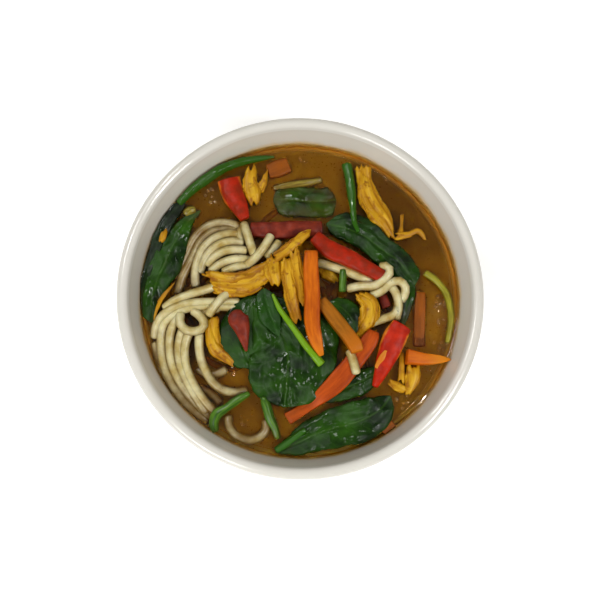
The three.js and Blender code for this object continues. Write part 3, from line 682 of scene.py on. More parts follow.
def over_core(spread, turn):
    """(x, y) in a direction from the middle of the noodle mass, at that share of the way out."""
    x = CORE_CENTRE[0] + CORE_REACH[0] * spread * math.cos(turn)
    y = CORE_CENTRE[1] + CORE_REACH[1] * spread * math.sin(turn)
    return x, y


def sunken_routes(count):
    """Short noodle lengths that lie over the core, just under the surface."""
    rng = random.Random(11)
    routes = []
    for _ in range(count):
        turn = rng.uniform(0, 2 * math.pi)
        x, y = over_core(math.sqrt(rng.uniform(0, 0.85)), turn)
        heading = turn + math.pi / 2 + rng.uniform(-0.7, 0.7)
        bow = rng.uniform(-0.03, 0.03)
        z = CORE_HIGH - 3.0 + rng.uniform(-1.2, 1.6)
        points = []
        for k in range(-2, 3):
            reach = 6.5 * k
            angle = heading + bow * reach
            points.append((x + reach * math.cos(angle), y + reach * math.sin(angle), z - 0.25 * k * k))
        routes.append(points)
    return routes


def core_mesh():
    """The mass that the strands lie on, as a low round-edged cake with the relief of packed noodles."""
    bm = bmesh.new()
    bmesh.ops.create_uvsphere(bm, u_segments=64, v_segments=24, radius=1)
    bm.verts.layers.float_vector.new("grain")
    middle = (CORE_LOW + CORE_HIGH) / 2
    for vert in bm.verts:
        x, y = over_core(math.hypot(vert.co.x, vert.co.y) ** 0.7, math.atan2(vert.co.y, vert.co.x))
        relief = 0.7 * lumps((x, y, 0), 3.5)
        z = middle + (CORE_HIGH - CORE_LOW - 3) / 2 * vert.co.z + relief
        vert.co = Vector((x, y, z)) * MM
    return bm


CARROT_SIDE = 6
PEPPER_WALL = 3.2
PEPPER_ARCH = 1.1
RIB_SINK = 0.8


def carrot_mesh(points):
    """A knife-cut strip, with slightly worn corners and faces that aren't quite flat."""
    start = points[0]

    def section(angle, distance, width):
        x, y = squared(angle, power=7)
        wander = 1 + 0.05 * lumps((start[0] + 4 * x, start[1] + 4 * y, distance), 9)
        height = min(width, CARROT_SIDE) * 0.95
        return width / 2 * x * wander, height / 2 * y * wander

    return swept(points, section, sides=40, steps=30, rounding=0.45)


def pepper_mesh(points):
    """A cut of pepper wall: an arched band, smooth on its skin side and rougher on its cut sides."""
    start = points[0]

    def section(angle, distance, width):
        x, y = squared(angle, power=6)
        edge = 1 + 0.05 * lumps((start[0] + 3 * x, start[1] + 3 * y, distance), 4)
        dimple = 0.35 * lumps((width * x, start[0] + y, distance), 3.5)
        wall = min(PEPPER_WALL, width)
        return width / 2 * x * edge, wall / 2 * y + PEPPER_ARCH * min(width / 8, 1) * (1 - x * x) + dimple

    return swept(points, section, sides=56, steps=44, rounding=0.45)


def rib_mesh(points):
    """A low, soft ridge of the pale inner wall, which runs below its route like the cut sides of a strip."""

    def section(angle, distance, width):
        return width / 2 * math.cos(angle), 0.25 * width * math.sin(angle) - RIB_SINK

    return swept(points, section, sides=16, steps=20, rounding=0.8)


CHICKEN_HEIGHT = 4.5
CHICKEN_FLATNESS = 0.62
FIBRES_PER_WIDTH = 0.35
SWELL = 0.45
SWELL_SPACING = 6.5
CLEFT_DEPTH = 0.5
CLEFT_WIDTH = 0.06
CLEFT_SPACING = 5.2
THREAD_DEPTH = 0.07
THREAD_SPACING = 1.3


def sheet_height(width):
    """How thick a sheet of meat of that width is."""
    return min(CHICKEN_FLATNESS * width, CHICKEN_HEIGHT)


def chicken_mesh(bundles, seed):
    """Torn meat: sheets of long fibres, parted along the grain, with loose fibres at their edges."""
    rng = random.Random(seed)
    parts = []
    for points in bundles:
        parts.append(sheet_mesh(points, rng.uniform(0, 90)))
        widest = max(width for *_, width in points)
        parts += [fibre_mesh(rng, points) for _ in range(round(widest * FIBRES_PER_WIDTH))]
    return merged(parts)


def sheet_mesh(points, seed):
    """One sheet of meat. A few clefts follow the grain and wander, and its torn sides are ragged."""

    def section(angle, distance, width):
        x, y = squared(angle, power=3)
        side = math.copysign(9, x)
        torn = 0.2 * lumps((distance, side, seed), 4.5) + 0.1 * lumps((distance, side, seed), 1.5)
        across = width / 2 * x * (1 + torn * abs(x))
        swell = 1 + SWELL * lumps((across, distance, seed), SWELL_SPACING)
        bow = across + 1.8 * lumps((distance, seed, 0), 8)
        cleft = math.exp(-((lumps((bow, 0.14 * distance, seed), CLEFT_SPACING) / CLEFT_WIDTH) ** 2))
        thread = THREAD_DEPTH * lumps((bow, 0.12 * distance, seed + 7), THREAD_SPACING)
        relief = (thread - CLEFT_DEPTH * cleft) * min(width / 5, 1)
        return across, (sheet_height(width) / 2 * swell + relief) * y

    steps = round(Route(points).length / 0.5)
    return swept(points, section, sides=96, steps=steps, rounding=1.0, fray=4)


def fibre_mesh(rng, points):
    """One loose fibre that follows its sheet near an edge and splays a little at its tip."""
    route = Route(points)
    side = rng.choice((-1, 1)) * rng.uniform(0.5, 1)
    splay = side * rng.uniform(-0.5, 1.3)
    first = rng.uniform(-0.05, 0.55)
    last = first + rng.uniform(0.25, 0.5)
    radius = rng.uniform(0.25, 0.5)
    knots = 5
    track = []
    for k in range(knots + 1):
        part = first + (last - first) * k / knots
        place, across, up, (width,) = route.frame(part * route.length)
        offset = side * width / 2 + splay * (k / knots) ** 2
        top = math.sqrt(1 - side * side) * sheet_height(width) / 2
        track.append((*(place + across * offset + up * (top - 0.2)), radius * (1 - 0.5 * k / knots)))

    def section(angle, distance, size):
        return size * 1.4 * math.cos(angle), size * math.sin(angle)

    return swept(track, section, sides=8, steps=14, rounding=1)


def stem_mesh(points):
    """A leaf stalk: round, faintly ribbed along its length."""
    start = points[0]

    def section(angle, distance, width):
        rib = 0.06 * math.cos(5 * angle)
        bend = 0.1 * lumps((start[0] + distance, math.cos(angle), math.sin(angle)), 4)
        radius = width / 2 * (1 + rib + bend)
        return radius * math.cos(angle), radius * math.sin(angle)

    steps = max(round(Route(points).length / 1.4), 4)
    return swept(points, section, sides=20, steps=steps, rounding=0.5)


LEAF_ACROSS = 56
LEAF_ALONG = 80
LEAF_THICKNESS = 0.5
LEAF_TIP = 2.5
LEAF_DROP = 0.09
LEAF_CURL = 0.9
CURL_START = 0.82
PLEAT_DEPTH = 2.0
PLEAT_SPACING = 3.4
MIDRIB_DEPTH = 0.45
MIDRIB_WIDTH = 0.9
VEIN_SPACING = 5.6
VEIN_SLANT = 0.8
BLADE_MARK = 100
# How crumpled each leaf is, where it isn't fully so
CRUMPLED = {
    "spinach_leaf_03": 0.3,
    "spinach_leaf_05": 0.2,
    "spinach_leaf_07": 0.5,
    "spinach_leaf_08": 0.55,
    "spinach_leaf_11": 0.4,
}


def leaf_mesh(points, seed, crumpled, stalk=None):
    """A cooked blade about its midrib: it droops in soft pleats, and its edges wave and curl under."""
    route = Route(points)
    bm = bmesh.new()
    grain = bm.verts.layers.float_vector.new("grain")
    bmesh.ops.create_grid(bm, x_segments=LEAF_ACROSS, y_segments=LEAF_ALONG, size=1)
    for vert in bm.verts:
        u = vert.co.x
        distance = (vert.co.y + 1) / 2 * route.length
        place, across, up, (left, right) = route.frame(distance)
        side = math.copysign(8, u)
        tip = min(distance, route.length - distance) / LEAF_TIP
        reach = max((left if u > 0 else right) * min(1, tip) ** 0.5, 0.2)
        ragged = 0.5 * lumps((distance, side, seed), 4) + 0.25 * lumps((distance, side, seed), 1.5)
        x = u * reach + u * abs(u) * ragged * min(1, reach / 4)
        sag = LEAF_DROP * reach * (0.6 * math.sin(distance / 2.1 + seed + side) - 1) * u * u
        curl = LEAF_CURL * (max(0, abs(u) - CURL_START) / (1 - CURL_START)) ** 2
        bow = x + 1.4 * lumps((distance, seed, 3), 7)
        pleats = 0.9 - PLEAT_DEPTH * abs(lumps((bow, 0.22 * distance, seed), PLEAT_SPACING))
        dents = 1.6 * lumps((x, distance, seed), 7) + 0.8 * lumps((x, distance, seed + 5), 3.2)
        midrib = MIDRIB_DEPTH * math.exp(-((x / MIDRIB_WIDTH) ** 2))
        relief = ((pleats + dents) * crumpled - midrib) * min(1, reach / 7)
        vert[grain] = Vector((x, BLADE_MARK, distance)) * MM
        vert.co = within_wall(place + across * x + up * (sag - curl + relief)) * MM
    bmesh.ops.solidify(bm, geom=bm.faces[:], thickness=LEAF_THICKNESS * MM)
    return merged([bm, stem_mesh(stalk)]) if stalk else bm


def within_wall(point):
    """The point, drawn in towards the axis where it would be in the porcelain."""
    room = wall_radius(point.z) - 0.8
    reach = point.xy.length
    if reach <= room:
        return point
    return Vector((point.x * room / reach, point.y * room / reach, point.z))


# ---- materials ----------------------------------------------------------------------------------------


def linear(colour):
    """An sRGB hex colour as linear RGBA."""
    channels = [int(colour[i : i + 2], 16) / 255 for i in (1, 3, 5)]
    return (*(c / 12.92 if c <= 0.04045 else ((c + 0.055) / 1.055) ** 2.4 for c in channels), 1.0)


def add(tree, kind, inputs=None, stops=None, **settings):
    """Adds a shader node. `inputs` gives its sockets by name or number, each a value, a hex colour, an output
    or a node, whose first live output is meant. `stops` gives a ramp's (position, hex colour) pairs, and the
    rest are the node's own settings."""
    node = tree.nodes.new("ShaderNode" + kind)
    for key, value in settings.items():
        setattr(node, key, value)
    for key, value in (inputs or {}).items():
        if isinstance(value, bpy.types.Node):
            value = next(output for output in value.outputs if output.enabled)
        if isinstance(value, bpy.types.NodeSocket):
            tree.links.new(value, node.inputs[key])
        else:
            node.inputs[key].default_value = linear(value) if isinstance(value, str) else value
    for i, (position, colour) in enumerate(stops or []):
        ramp = node.color_ramp.elements
        element = ramp[i] if i < 2 else ramp.new(position)
        element.position = position
        element.color = linear(colour)
    return node


def blank(name):
    """A new node material with nothing in it, and its tree."""
    material = bpy.data.materials.new(name)
    material.use_nodes = True
    material.node_tree.nodes.clear()
    return material, material.node_tree


def porcelain_material():
    """Glazed porcelain: a clear hard gloss over grey-white, bare and dull on the foot ring. Above the soup
    the wall keeps a thin yellow stain, and the inner wall above the soup is painted a little darker and
    warmer: painted shade and painted light bounced off the soup."""
    material, tree = blank("Glazed porcelain")
    place = add(tree, "TexCoord").outputs["Object"]
    height = add(tree, "SeparateXYZ", {0: place}).outputs[2]
    flat = add(tree, "VectorMath", {0: place, 1: (1, 1, 0)}, operation="MULTIPLY")
    radius = add(tree, "VectorMath", {0: flat}, operation="LENGTH")
    within = add(tree, "Math", {0: radius, 1: STAIN_AND_SHADE_RADIUS * MM}, operation="LESS_THAN")
    above = add(tree, "Math", {0: height, 1: (BROTH_LEVEL - 3) * MM}, operation="GREATER_THAN")
    inside = add(tree, "Math", {0: within, 1: above}, operation="MULTIPLY")
    streaks = add(tree, "TexNoise", {"Vector": place, "Scale": 1 / (9 * MM), "Detail": 3})
    lap = add(tree, "Math", {0: streaks, 1: 3.2 * MM, 2: height}, operation="MULTIPLY_ADD")
    low, high = STAIN_FADE
    stain = add(
        tree, "MapRange",
        {"Value": lap, "From Min": low * MM, "From Max": high * MM, "To Min": 0.75, "To Max": 0.0},
        interpolation_type="SMOOTHSTEP",
    )
    wet = add(tree, "Math", {0: stain, 1: inside}, operation="MULTIPLY")
    mottle = add(tree, "TexNoise", {"Vector": place, "Scale": 1 / (14 * MM), "Detail": 2})
    glaze = add(tree, "Mix", {0: mottle, 6: "#dcd9d0", 7: "#e3e1da"}, data_type="RGBA")
    # Painted shade: the inner wall above the soup is mixed towards a darker, warmer grey, standing for its
    # shade and the light the soup bounces onto it.
    inner_shade_amount = add(tree, "Math", {0: inside, 1: 0.3}, operation="MULTIPLY")
    inner_shaded_glaze = add(tree, "Mix", {0: inner_shade_amount, 6: glaze, 7: "#bcae96"}, data_type="RGBA")
    stained = add(tree, "Mix", {0: wet, 6: inner_shaded_glaze, 7: "#c9a03c"}, data_type="RGBA")
    bare = add(tree, "Math", {0: height, 1: 0.4 * MM}, operation="LESS_THAN")
    colour = add(tree, "Mix", {0: bare, 6: stained, 7: "#cdc7bb"}, data_type="RGBA")
    rough = add(tree, "MapRange", {"Value": bare, "To Min": 0.14, "To Max": 0.75})
    waves = add(tree, "TexNoise", {"Vector": place, "Scale": 1 / (22 * MM), "Detail": 1})
    bump = add(tree, "Bump", {"Height": waves, "Strength": 0.12, "Distance": 0.4 * MM})
    shader = add(tree, "BsdfPrincipled", {
        "Base Color": colour, "Roughness": rough, "IOR": 1.52, "Normal": bump,
    })
    add(tree, "OutputMaterial", {"Surface": shader})
    return material


def broth_material():
    """Clear upper broth: an oily, orange-brown liquid that darkens what lies deeper in it."""
    material, tree = blank("Clear oily broth")
    place = add(tree, "TexCoord").outputs["Object"]
    ripple = add(tree, "TexNoise", {"Vector": place, "Scale": 1 / (11 * MM), "Detail": 2})
    bump = add(tree, "Bump", {"Height": ripple, "Strength": 0.35, "Distance": 0.6 * MM})
    shader = add(tree, "BsdfPrincipled", {
        "Base Color": "#ffffff", "Roughness": 0.03, "IOR": 1.34, "Transmission Weight": 1.0, "Normal": bump,
    })
    tint = tuple(settings().broth_depth_colour)
    depth = add(tree, "VolumeAbsorption", {"Color": tint, "Density": BROTH_DENSITY})
    add(tree, "OutputMaterial", {"Surface": shader, "Volume": depth})
    return material


def oil_material():
    """Turmeric oil: clear, amber and glossy, so that each drop carries a glint."""
    material, tree = blank("Turmeric oil")
    shader = add(tree, "BsdfPrincipled", {
        "Base Color": "#fbe2a8", "Roughness": 0.05, "IOR": 1.47, "Transmission Weight": 0.95,
    })
    add(tree, "OutputMaterial", {"Surface": shader})
    return material


def depths_material():
    """Cloudy lower broth, with fine solids stirred up in it. It is painted darker in a few patches, mostly as
    painted shade, and paler where it lies thin over the wall, except at the front, where painted shade takes
    that paleness away.
    """
    material, tree = blank("Cloudy broth")
    place = add(tree, "TexCoord").outputs["Object"]
    clouds = add(tree, "TexNoise", {"Vector": place, "Scale": 1 / (16 * MM), "Detail": 4})
    colour = add(tree, "ValToRGB", {0: clouds}, stops=[(0.35, "#8a8c78"), (0.65, "#a4a48c")])
    specks = add(tree, "TexNoise", {"Vector": place, "Scale": 1 / (1.1 * MM), "Detail": 2})
    dots = add(tree, "MapRange", {"Value": specks, "From Min": 0.64, "From Max": 0.72, "To Max": 0.7})
    specks_and_shade = add(tree, "Mix", {0: dots, 6: colour, 7: "#4a3520"}, data_type="RGBA")
    flat = add(tree, "VectorMath", {0: place, 1: (1, 1, 0)}, operation="MULTIPLY")
    radius = add(tree, "VectorMath", {0: flat}, operation="LENGTH")
    # Painted shade: dark grey mixed into the broth in soft patches.
    for x, y, near, far, strength in DARKER_BROTH_SPOTS:
        apart = add(tree, "VectorMath", {0: flat, 1: (x * MM, y * MM, 0)}, operation="DISTANCE")
        dark_patch = add(
            tree, "MapRange",
            {"Value": apart, "From Min": near * MM, "From Max": far * MM, "To Min": strength, "To Max": 0.0},
            interpolation_type="SMOOTHSTEP",
        )
        specks_and_shade = add(tree, "Mix", {0: dark_patch, 6: specks_and_shade, 7: "#4a4a44"}, data_type="RGBA")
    near, far = SHALLOW_RADII
    thin = add(tree, "MapRange", {
        "Value": radius, "From Min": near * MM, "From Max": far * MM, "To Max": 0.7,
    })
    # Painted shade: towards the front, where the wall shades the broth, the pale shallow broth is painted
    # back to its darker colour.
    forward = add(tree, "SeparateXYZ", {0: place}).outputs[1]
    near, far = SHALLOW_FRONT_SHADE
    lit = add(
        tree, "MapRange", {"Value": forward, "From Min": near * MM, "From Max": far * MM},
        interpolation_type="SMOOTHSTEP",
    )
    pale = add(tree, "Math", {0: thin, 1: lit}, operation="MULTIPLY")
    shelved = add(tree, "Mix", {0: pale, 6: specks_and_shade, 7: "#e0bc80"}, data_type="RGBA")
    shader = add(tree, "BsdfPrincipled", {"Base Color": shelved, "Roughness": 0.9, "IOR": 1.34})
    add(tree, "OutputMaterial", {"Surface": shader})
    return material


def soaked(tree, place, colour, depth, strength=0.8, stain_colour="#5c3a10"):
    """The colour, stained by the broth up to `depth` millimetres above its surface, in an uneven line."""
    height = add(tree, "SeparateXYZ", {0: place}).outputs[2]
    blots = add(tree, "TexNoise", {"Vector": place, "Scale": 1 / (5 * MM), "Detail": 3})
    level = add(tree, "Math", {0: blots, 1: -depth * MM, 2: height}, operation="MULTIPLY_ADD")
    low, high = (BROTH_LEVEL - depth / 2) * MM, (BROTH_LEVEL + depth / 2) * MM
    stain = add(
        tree, "MapRange",
        {"Value": level, "From Min": low, "From Max": high, "To Min": strength, "To Max": 0.0},
        interpolation_type="SMOOTHSTEP",
    )
    return add(tree, "Mix", {0: stain, 6: colour, 7: stain_colour}, data_type="RGBA")


def noodle_material():
    """Boiled wheat noodle: smooth, wet and slightly see-through, cream on top and ochre down each strand's
    sides, where painted shade and clinging broth meet. Near the broth's surface it takes a heavy stain, which
    is partly real and partly painted shade deep among the strands."""
    material, tree = blank("Boiled wheat noodle")
    place = add(tree, "TexCoord").outputs["Object"]
    patches = add(tree, "TexNoise", {"Vector": place, "Scale": 1 / (6 * MM), "Detail": 4})
    dough = add(tree, "ValToRGB", {0: patches}, stops=[
        (0.3, "#b29850"), (0.72, "#e2dbae"), (0.42, "#c4b478"), (0.54, "#d4ca98"),
    ])
    section = add(tree, "Attribute", attribute_name="grain").outputs["Vector"]
    height = add(tree, "SeparateXYZ", {0: section}).outputs[1]
    # Painted shade: each strand darkens to ochre down its sides, together with the broth that clings there.
    side_shade_and_broth = add(tree, "MapRange", {
        "Value": height, "From Min": -0.2 * MM, "From Max": 2.0 * MM, "To Min": 0.9, "To Max": 0.0,
    })
    side_shaded_dough = add(tree, "Mix", {0: side_shade_and_broth, 6: dough, 7: "#745214"}, data_type="RGBA")
    # The broth stain is laid on strongly here: partly a real stain, partly painted shade deep among the
    # strands.
    stained_and_shaded = soaked(tree, place, side_shaded_dough, depth=5.5, strength=0.92, stain_colour="#70501a")
    flecks = add(tree, "TexNoise", {"Vector": place, "Scale": 1 / (1.3 * MM), "Detail": 1})
    spice = add(tree, "MapRange", {"Value": flecks, "From Min": 0.76, "From Max": 0.8, "To Max": 0.85})
    colour = add(tree, "Mix", {0: spice, 6: stained_and_shaded, 7: "#2e1a0c"}, data_type="RGBA")
    grain = add(tree, "TexNoise", {"Vector": place, "Scale": 1 / (0.9 * MM), "Detail": 3})
    bump = add(tree, "Bump", {"Height": grain, "Strength": 0.12, "Distance": 0.1 * MM})
    shader = add(tree, "BsdfPrincipled", {
        "Base Color": colour, "Roughness": 0.3, "IOR": 1.4, "Subsurface Weight": 0.4,
        "Subsurface Radius": (1.0, 0.7, 0.3), "Subsurface Scale": 1.2 * MM, "Normal": bump,
    })
    add(tree, "OutputMaterial", {"Surface": shader})
    return material


def leaf_material(name, dark, light, vein, stalk):
    """Wilted spinach: deep green under a film of broth that catches the light in patches, with paler veins
    that run out from the midrib."""
    material, tree = blank(name)
    place = add(tree, "TexCoord").outputs["Object"]
    grain = add(tree, "Attribute", attribute_name="grain").outputs["Vector"]
    axes = add(tree, "SeparateXYZ", {0: grain})
    out = add(tree, "Math", {0: axes.outputs[0]}, operation="ABSOLUTE")
    slant = add(tree, "Math", {0: out, 1: -VEIN_SLANT, 2: axes.outputs[2]}, operation="MULTIPLY_ADD")
    bent = add(tree, "TexNoise", {"Vector": place, "Scale": 1 / (8 * MM), "Detail": 1})
    bowed = add(tree, "Math", {0: bent, 1: 6 * MM, 2: slant}, operation="MULTIPLY_ADD")
    rank = add(tree, "Math", {0: bowed, 1: VEIN_SPACING * MM}, operation="DIVIDE")
    whole = add(tree, "Math", {0: rank}, operation="ROUND")
    off = add(tree, "Math", {0: rank, 1: whole}, operation="SUBTRACT")
    away = add(tree, "Math", {0: off}, operation="ABSOLUTE")
    side_vein = add(tree, "MapRange", {"Value": away, "From Max": 0.08, "To Min": 0.14, "To Max": 0.0})
    midrib = add(tree, "MapRange", {
        "Value": out, "From Min": 0.1 * MM, "From Max": 0.7 * MM, "To Min": 0.3, "To Max": 0.0,
    })
    veins = add(tree, "Math", {0: side_vein, 1: midrib}, operation="MAXIMUM")
    patches = add(tree, "TexNoise", {"Vector": place, "Scale": 1 / (11 * MM), "Detail": 4})
    blade = add(tree, "ValToRGB", {0: patches}, stops=[(0.36, dark), (0.68, light)])
    veined = add(tree, "Mix", {0: veins, 6: blade, 7: vein}, data_type="RGBA")
    on_blade = add(tree, "Math", {0: axes.outputs[1], 1: BLADE_MARK / 2 * MM}, operation="GREATER_THAN")
    leafy = add(tree, "Mix", {0: on_blade, 6: stalk, 7: veined}, data_type="RGBA")
    colour = soaked(tree, place, leafy, depth=2, strength=0.3)
    film = add(tree, "TexNoise", {"Vector": place, "Scale": 1 / (2.8 * MM), "Detail": 2})
    pools = add(tree, "TexNoise", {"Vector": place, "Scale": 1 / (9 * MM), "Detail": 2})
    wet = add(
        tree, "MapRange", {"Value": pools, "From Min": 0.46, "From Max": 0.62},
        interpolation_type="SMOOTHSTEP",
    )
    rough = add(tree, "MapRange", {"Value": wet, "To Min": 0.5, "To Max": 0.12})
    rippled = add(tree, "Math", {0: film, 1: wet}, operation="MULTIPLY")
    crinkle = add(tree, "Math", {0: veins, 1: -0.4, 2: rippled}, operation="MULTIPLY_ADD")
    bump = add(tree, "Bump", {"Height": crinkle, "Strength": 0.6, "Distance": 0.5 * MM})
    shader = add(tree, "BsdfPrincipled", {
        "Base Color": colour, "Roughness": rough, "IOR": 1.36, "Specular IOR Level": 0.35, "Normal": bump,
    })
    add(tree, "OutputMaterial", {"Surface": shader})
    return material


def stem_material(name, dark, light):
    """A blanched stalk: smooth, wet and streaked along its length."""
    material, tree = blank(name)
    place = add(tree, "TexCoord").outputs["Object"]
    grain = add(tree, "Attribute", attribute_name="grain").outputs["Vector"]
    along = add(tree, "Mapping", {"Vector": grain, "Scale": (1, 1, 0.12)})
    streaks = add(tree, "TexNoise", {"Vector": along, "Scale": 1 / (0.8 * MM), "Detail": 3})
    skin = add(tree, "ValToRGB", {0: streaks}, stops=[(0.34, dark), (0.66, light)])
    colour = soaked(tree, place, skin, depth=3, strength=0.6)
    bump = add(tree, "Bump", {"Height": streaks, "Strength": 0.4, "Distance": 0.2 * MM})
    shader = add(tree, "BsdfPrincipled", {
        "Base Color": colour, "Roughness": 0.28, "IOR": 1.36, "Specular IOR Level": 0.4, "Normal": bump,
    })
    add(tree, "OutputMaterial", {"Surface": shader})
    return material


def carrot_material(name, dark, light, tip=None):
    """Cooked carrot, knife-cut: orange flesh with faint streaks along the root and a wet, waxy shine. `tip`
    gives the colour at the strip's far end and the distances over which it comes in."""
    material, tree = blank(name)
    place = add(tree, "TexCoord").outputs["Object"]
    grain = add(tree, "Attribute", attribute_name="grain").outputs["Vector"]
    along = add(tree, "Mapping", {"Vector": grain, "Scale": (1, 1, 0.2)})
    streaks = add(tree, "TexNoise", {"Vector": along, "Scale": 1 / (2 * MM), "Detail": 4})
    flesh = add(tree, "ValToRGB", {0: streaks}, stops=[(0.34, dark), (0.66, light)])
    if tip:
        far, start, end = tip
        distance = add(tree, "SeparateXYZ", {0: grain}).outputs[2]
        share = add(
            tree, "MapRange",
            {"Value": distance, "From Min": start * MM, "From Max": end * MM, "To Max": 0.75},
            interpolation_type="SMOOTHSTEP",
        )
        flesh = add(tree, "Mix", {0: share, 6: flesh, 7: far}, data_type="RGBA")
    colour = soaked(tree, place, flesh, depth=3, strength=0.4)
    cells = add(tree, "TexNoise", {"Vector": grain, "Scale": 1 / (0.7 * MM), "Detail": 3})
    bump = add(tree, "Bump", {"Height": cells, "Strength": 0.4, "Distance": 0.15 * MM})
    shader = add(tree, "BsdfPrincipled", {
        "Base Color": colour, "Roughness": 0.4, "IOR": 1.36, "Specular IOR Level": 0.2, "Normal": bump,
    })
    add(tree, "OutputMaterial", {"Surface": shader})
    return material


def pepper_material(name, skin, shade, flesh):
    """Cooked red pepper: a smooth skin gone dull in places, and paler orange flesh at the cut edges."""
    material, tree = blank(name)
    place = add(tree, "TexCoord").outputs["Object"]
    grain = add(tree, "Attribute", attribute_name="grain").outputs["Vector"]
    axes = add(tree, "SeparateXYZ", {0: grain})
    blotches = add(tree, "TexNoise", {"Vector": place, "Scale": 1 / (4 * MM), "Detail": 5})
    red = add(tree, "ValToRGB", {0: blotches}, stops=[(0.35, shade), (0.65, skin)])
    side = add(tree, "Math", {0: axes.outputs[0]}, operation="ABSOLUTE")
    worn = add(tree, "Math", {0: blotches, 1: 2 * MM, 2: side}, operation="MULTIPLY_ADD")
    rim = add(tree, "MapRange", {"Value": worn, "From Min": 4.9 * MM, "From Max": 5.7 * MM, "To Max": 0.7})
    under = add(tree, "MapRange", {
        "Value": axes.outputs[1], "From Min": -0.6 * MM, "From Max": 0.8 * MM, "To Min": 1.0, "To Max": 0.0,
    })
    edge = add(tree, "Math", {0: rim, 1: under}, operation="MAXIMUM")
    cut = add(tree, "Mix", {0: edge, 6: red, 7: flesh}, data_type="RGBA")
    colour = soaked(tree, place, cut, depth=3)
    wrinkles = add(tree, "TexNoise", {"Vector": grain, "Scale": 1 / (1.8 * MM), "Detail": 4})
    bump = add(tree, "Bump", {"Height": wrinkles, "Strength": 0.5, "Distance": 0.3 * MM})
    shader = add(tree, "BsdfPrincipled", {
        "Base Color": colour, "Roughness": 0.4, "IOR": 1.36, "Specular IOR Level": 0.22, "Normal": bump,
    })
    add(tree, "OutputMaterial", {"Surface": shader})
    return material


def chicken_material():
    """Poached chicken, torn and dyed yellow by turmeric: moist threads, brown where spice settles."""
    material, tree = blank("Turmeric chicken")
    place = add(tree, "TexCoord").outputs["Object"]
    grain = add(tree, "Attribute", attribute_name="grain").outputs["Vector"]
    along = add(tree, "Mapping", {"Vector": grain, "Scale": (1, 1, 0.1)})
    fibres = add(tree, "TexNoise", {"Vector": along, "Scale": 1 / (1.9 * MM), "Detail": 3})
    flesh = add(tree, "ValToRGB", {0: fibres}, stops=[
        (0.28, "#845406"), (0.7, "#d6a826"), (0.4, "#a46e08"), (0.52, "#bc8810"),
    ])
    dips = add(tree, "TexNoise", {"Vector": place, "Scale": 1 / (2.6 * MM), "Detail": 5})
    browned = add(tree, "MapRange", {"Value": dips, "From Min": 0.54, "From Max": 0.68, "To Max": 0.8})
    spiced = add(tree, "Mix", {0: browned, 6: flesh, 7: "#8a4e0c"}, data_type="RGBA")
    colour = soaked(tree, place, spiced, depth=2, strength=0.4)
    bump = add(tree, "Bump", {"Height": fibres, "Strength": 0.5, "Distance": 0.3 * MM})
    shader = add(tree, "BsdfPrincipled", {
        "Base Color": colour, "Roughness": 0.38, "IOR": 1.36, "Specular IOR Level": 0.25, "Normal": bump,
    })
    add(tree, "OutputMaterial", {"Surface": shader})
    return material


def floor_material():
    """Matt white paper: an even pale ground."""
    material, tree = blank("White paper")
    place = add(tree, "TexCoord").outputs["Object"]
    fibres = add(tree, "TexNoise", {"Vector": place, "Scale": 1 / (30 * MM), "Detail": 3})
    colour = add(tree, "Mix", {0: fibres, 6: "#f8f8f7", 7: "#fdfdfd"}, data_type="RGBA")
    shader = add(tree, "BsdfPrincipled", {
        "Base Color": colour, "Roughness": 0.9, "Emission Color": "#ffffff", "Emission Strength": 0.4,
    })
    add(tree, "OutputMaterial", {"Surface": shader})
    return material


# ---- settings, operators and the panel ---------------------------------------------------------------------


class ThukpaSettings(bpy.types.PropertyGroup):
    """The sizes and colours that a user would change."""

    noodle_diameter: bpy.props.FloatProperty(
        name="Noodle diameter", description="Thickness of a boiled noodle", default=3.9 * MM, min=0.001,
        unit="LENGTH",
    )
    broth_depth_colour: bpy.props.FloatVectorProperty(
        name="Broth tint", description="Colour that light keeps as it passes through the broth",
        subtype="COLOR", size=4, default=(0.955, 0.765, 0.02, 1), min=0, max=1,
    )
    key_power: bpy.props.FloatProperty(
        name="Key light", description="Power of the large light beside the bowl", default=5.15, min=0,
        unit="POWER",
    )
    glint_power: bpy.props.FloatProperty(
        name="Glint lights", description="Power of the small lights that wet surfaces reflect", default=1.2,
        min=0, unit="POWER",
    )


def settings():
    return bpy.context.scene.thukpa


class THUKPA_OT_bowl(bpy.types.Operator):
    """Turns the porcelain bowl: its foot ring, its wall and its rounded lip"""

    bl_idname = "thukpa.bowl"
    bl_label = "Bowl"

    def execute(self, context):
        finish_piece("porcelain_bowl", bowl_mesh(), porcelain_material(), ["bowl"])
        return {"FINISHED"}


class THUKPA_OT_broth(bpy.types.Operator):
    """Fills the bowl with broth: a clear oily layer over a cloudy depth"""

    bl_idname = "thukpa.broth"
    bl_label = "Broth"

    def execute(self, context):
        finish_piece("broth_clear", broth_mesh(), broth_material(), ["broth"])
        finish_piece("broth_depths", depths_mesh(), depths_material(), [])
        finish_piece("broth_oil", oil_mesh(), oil_material(), [])
        return {"FINISHED"}


class THUKPA_OT_noodles(bpy.types.Operator):
    """Lays the noodles: the strands that show, the sunken ones under them and the mass they lie on"""

    bl_idname = "thukpa.noodles"
    bl_label = "Noodles"

    def execute(self, context):
        diameter = settings().noodle_diameter / MM
        strands = [strand_mesh(points, diameter) for points in STRANDS]
        sunken = [strand_mesh(points, diameter, sides=8, step=4) for points in sunken_routes(SUNKEN_STRANDS)]
        whole = merged([core_mesh(), *sunken, *strands])
        finish_piece("noodle_tangle", whole, noodle_material(), ["noodles"])
        return {"FINISHED"}


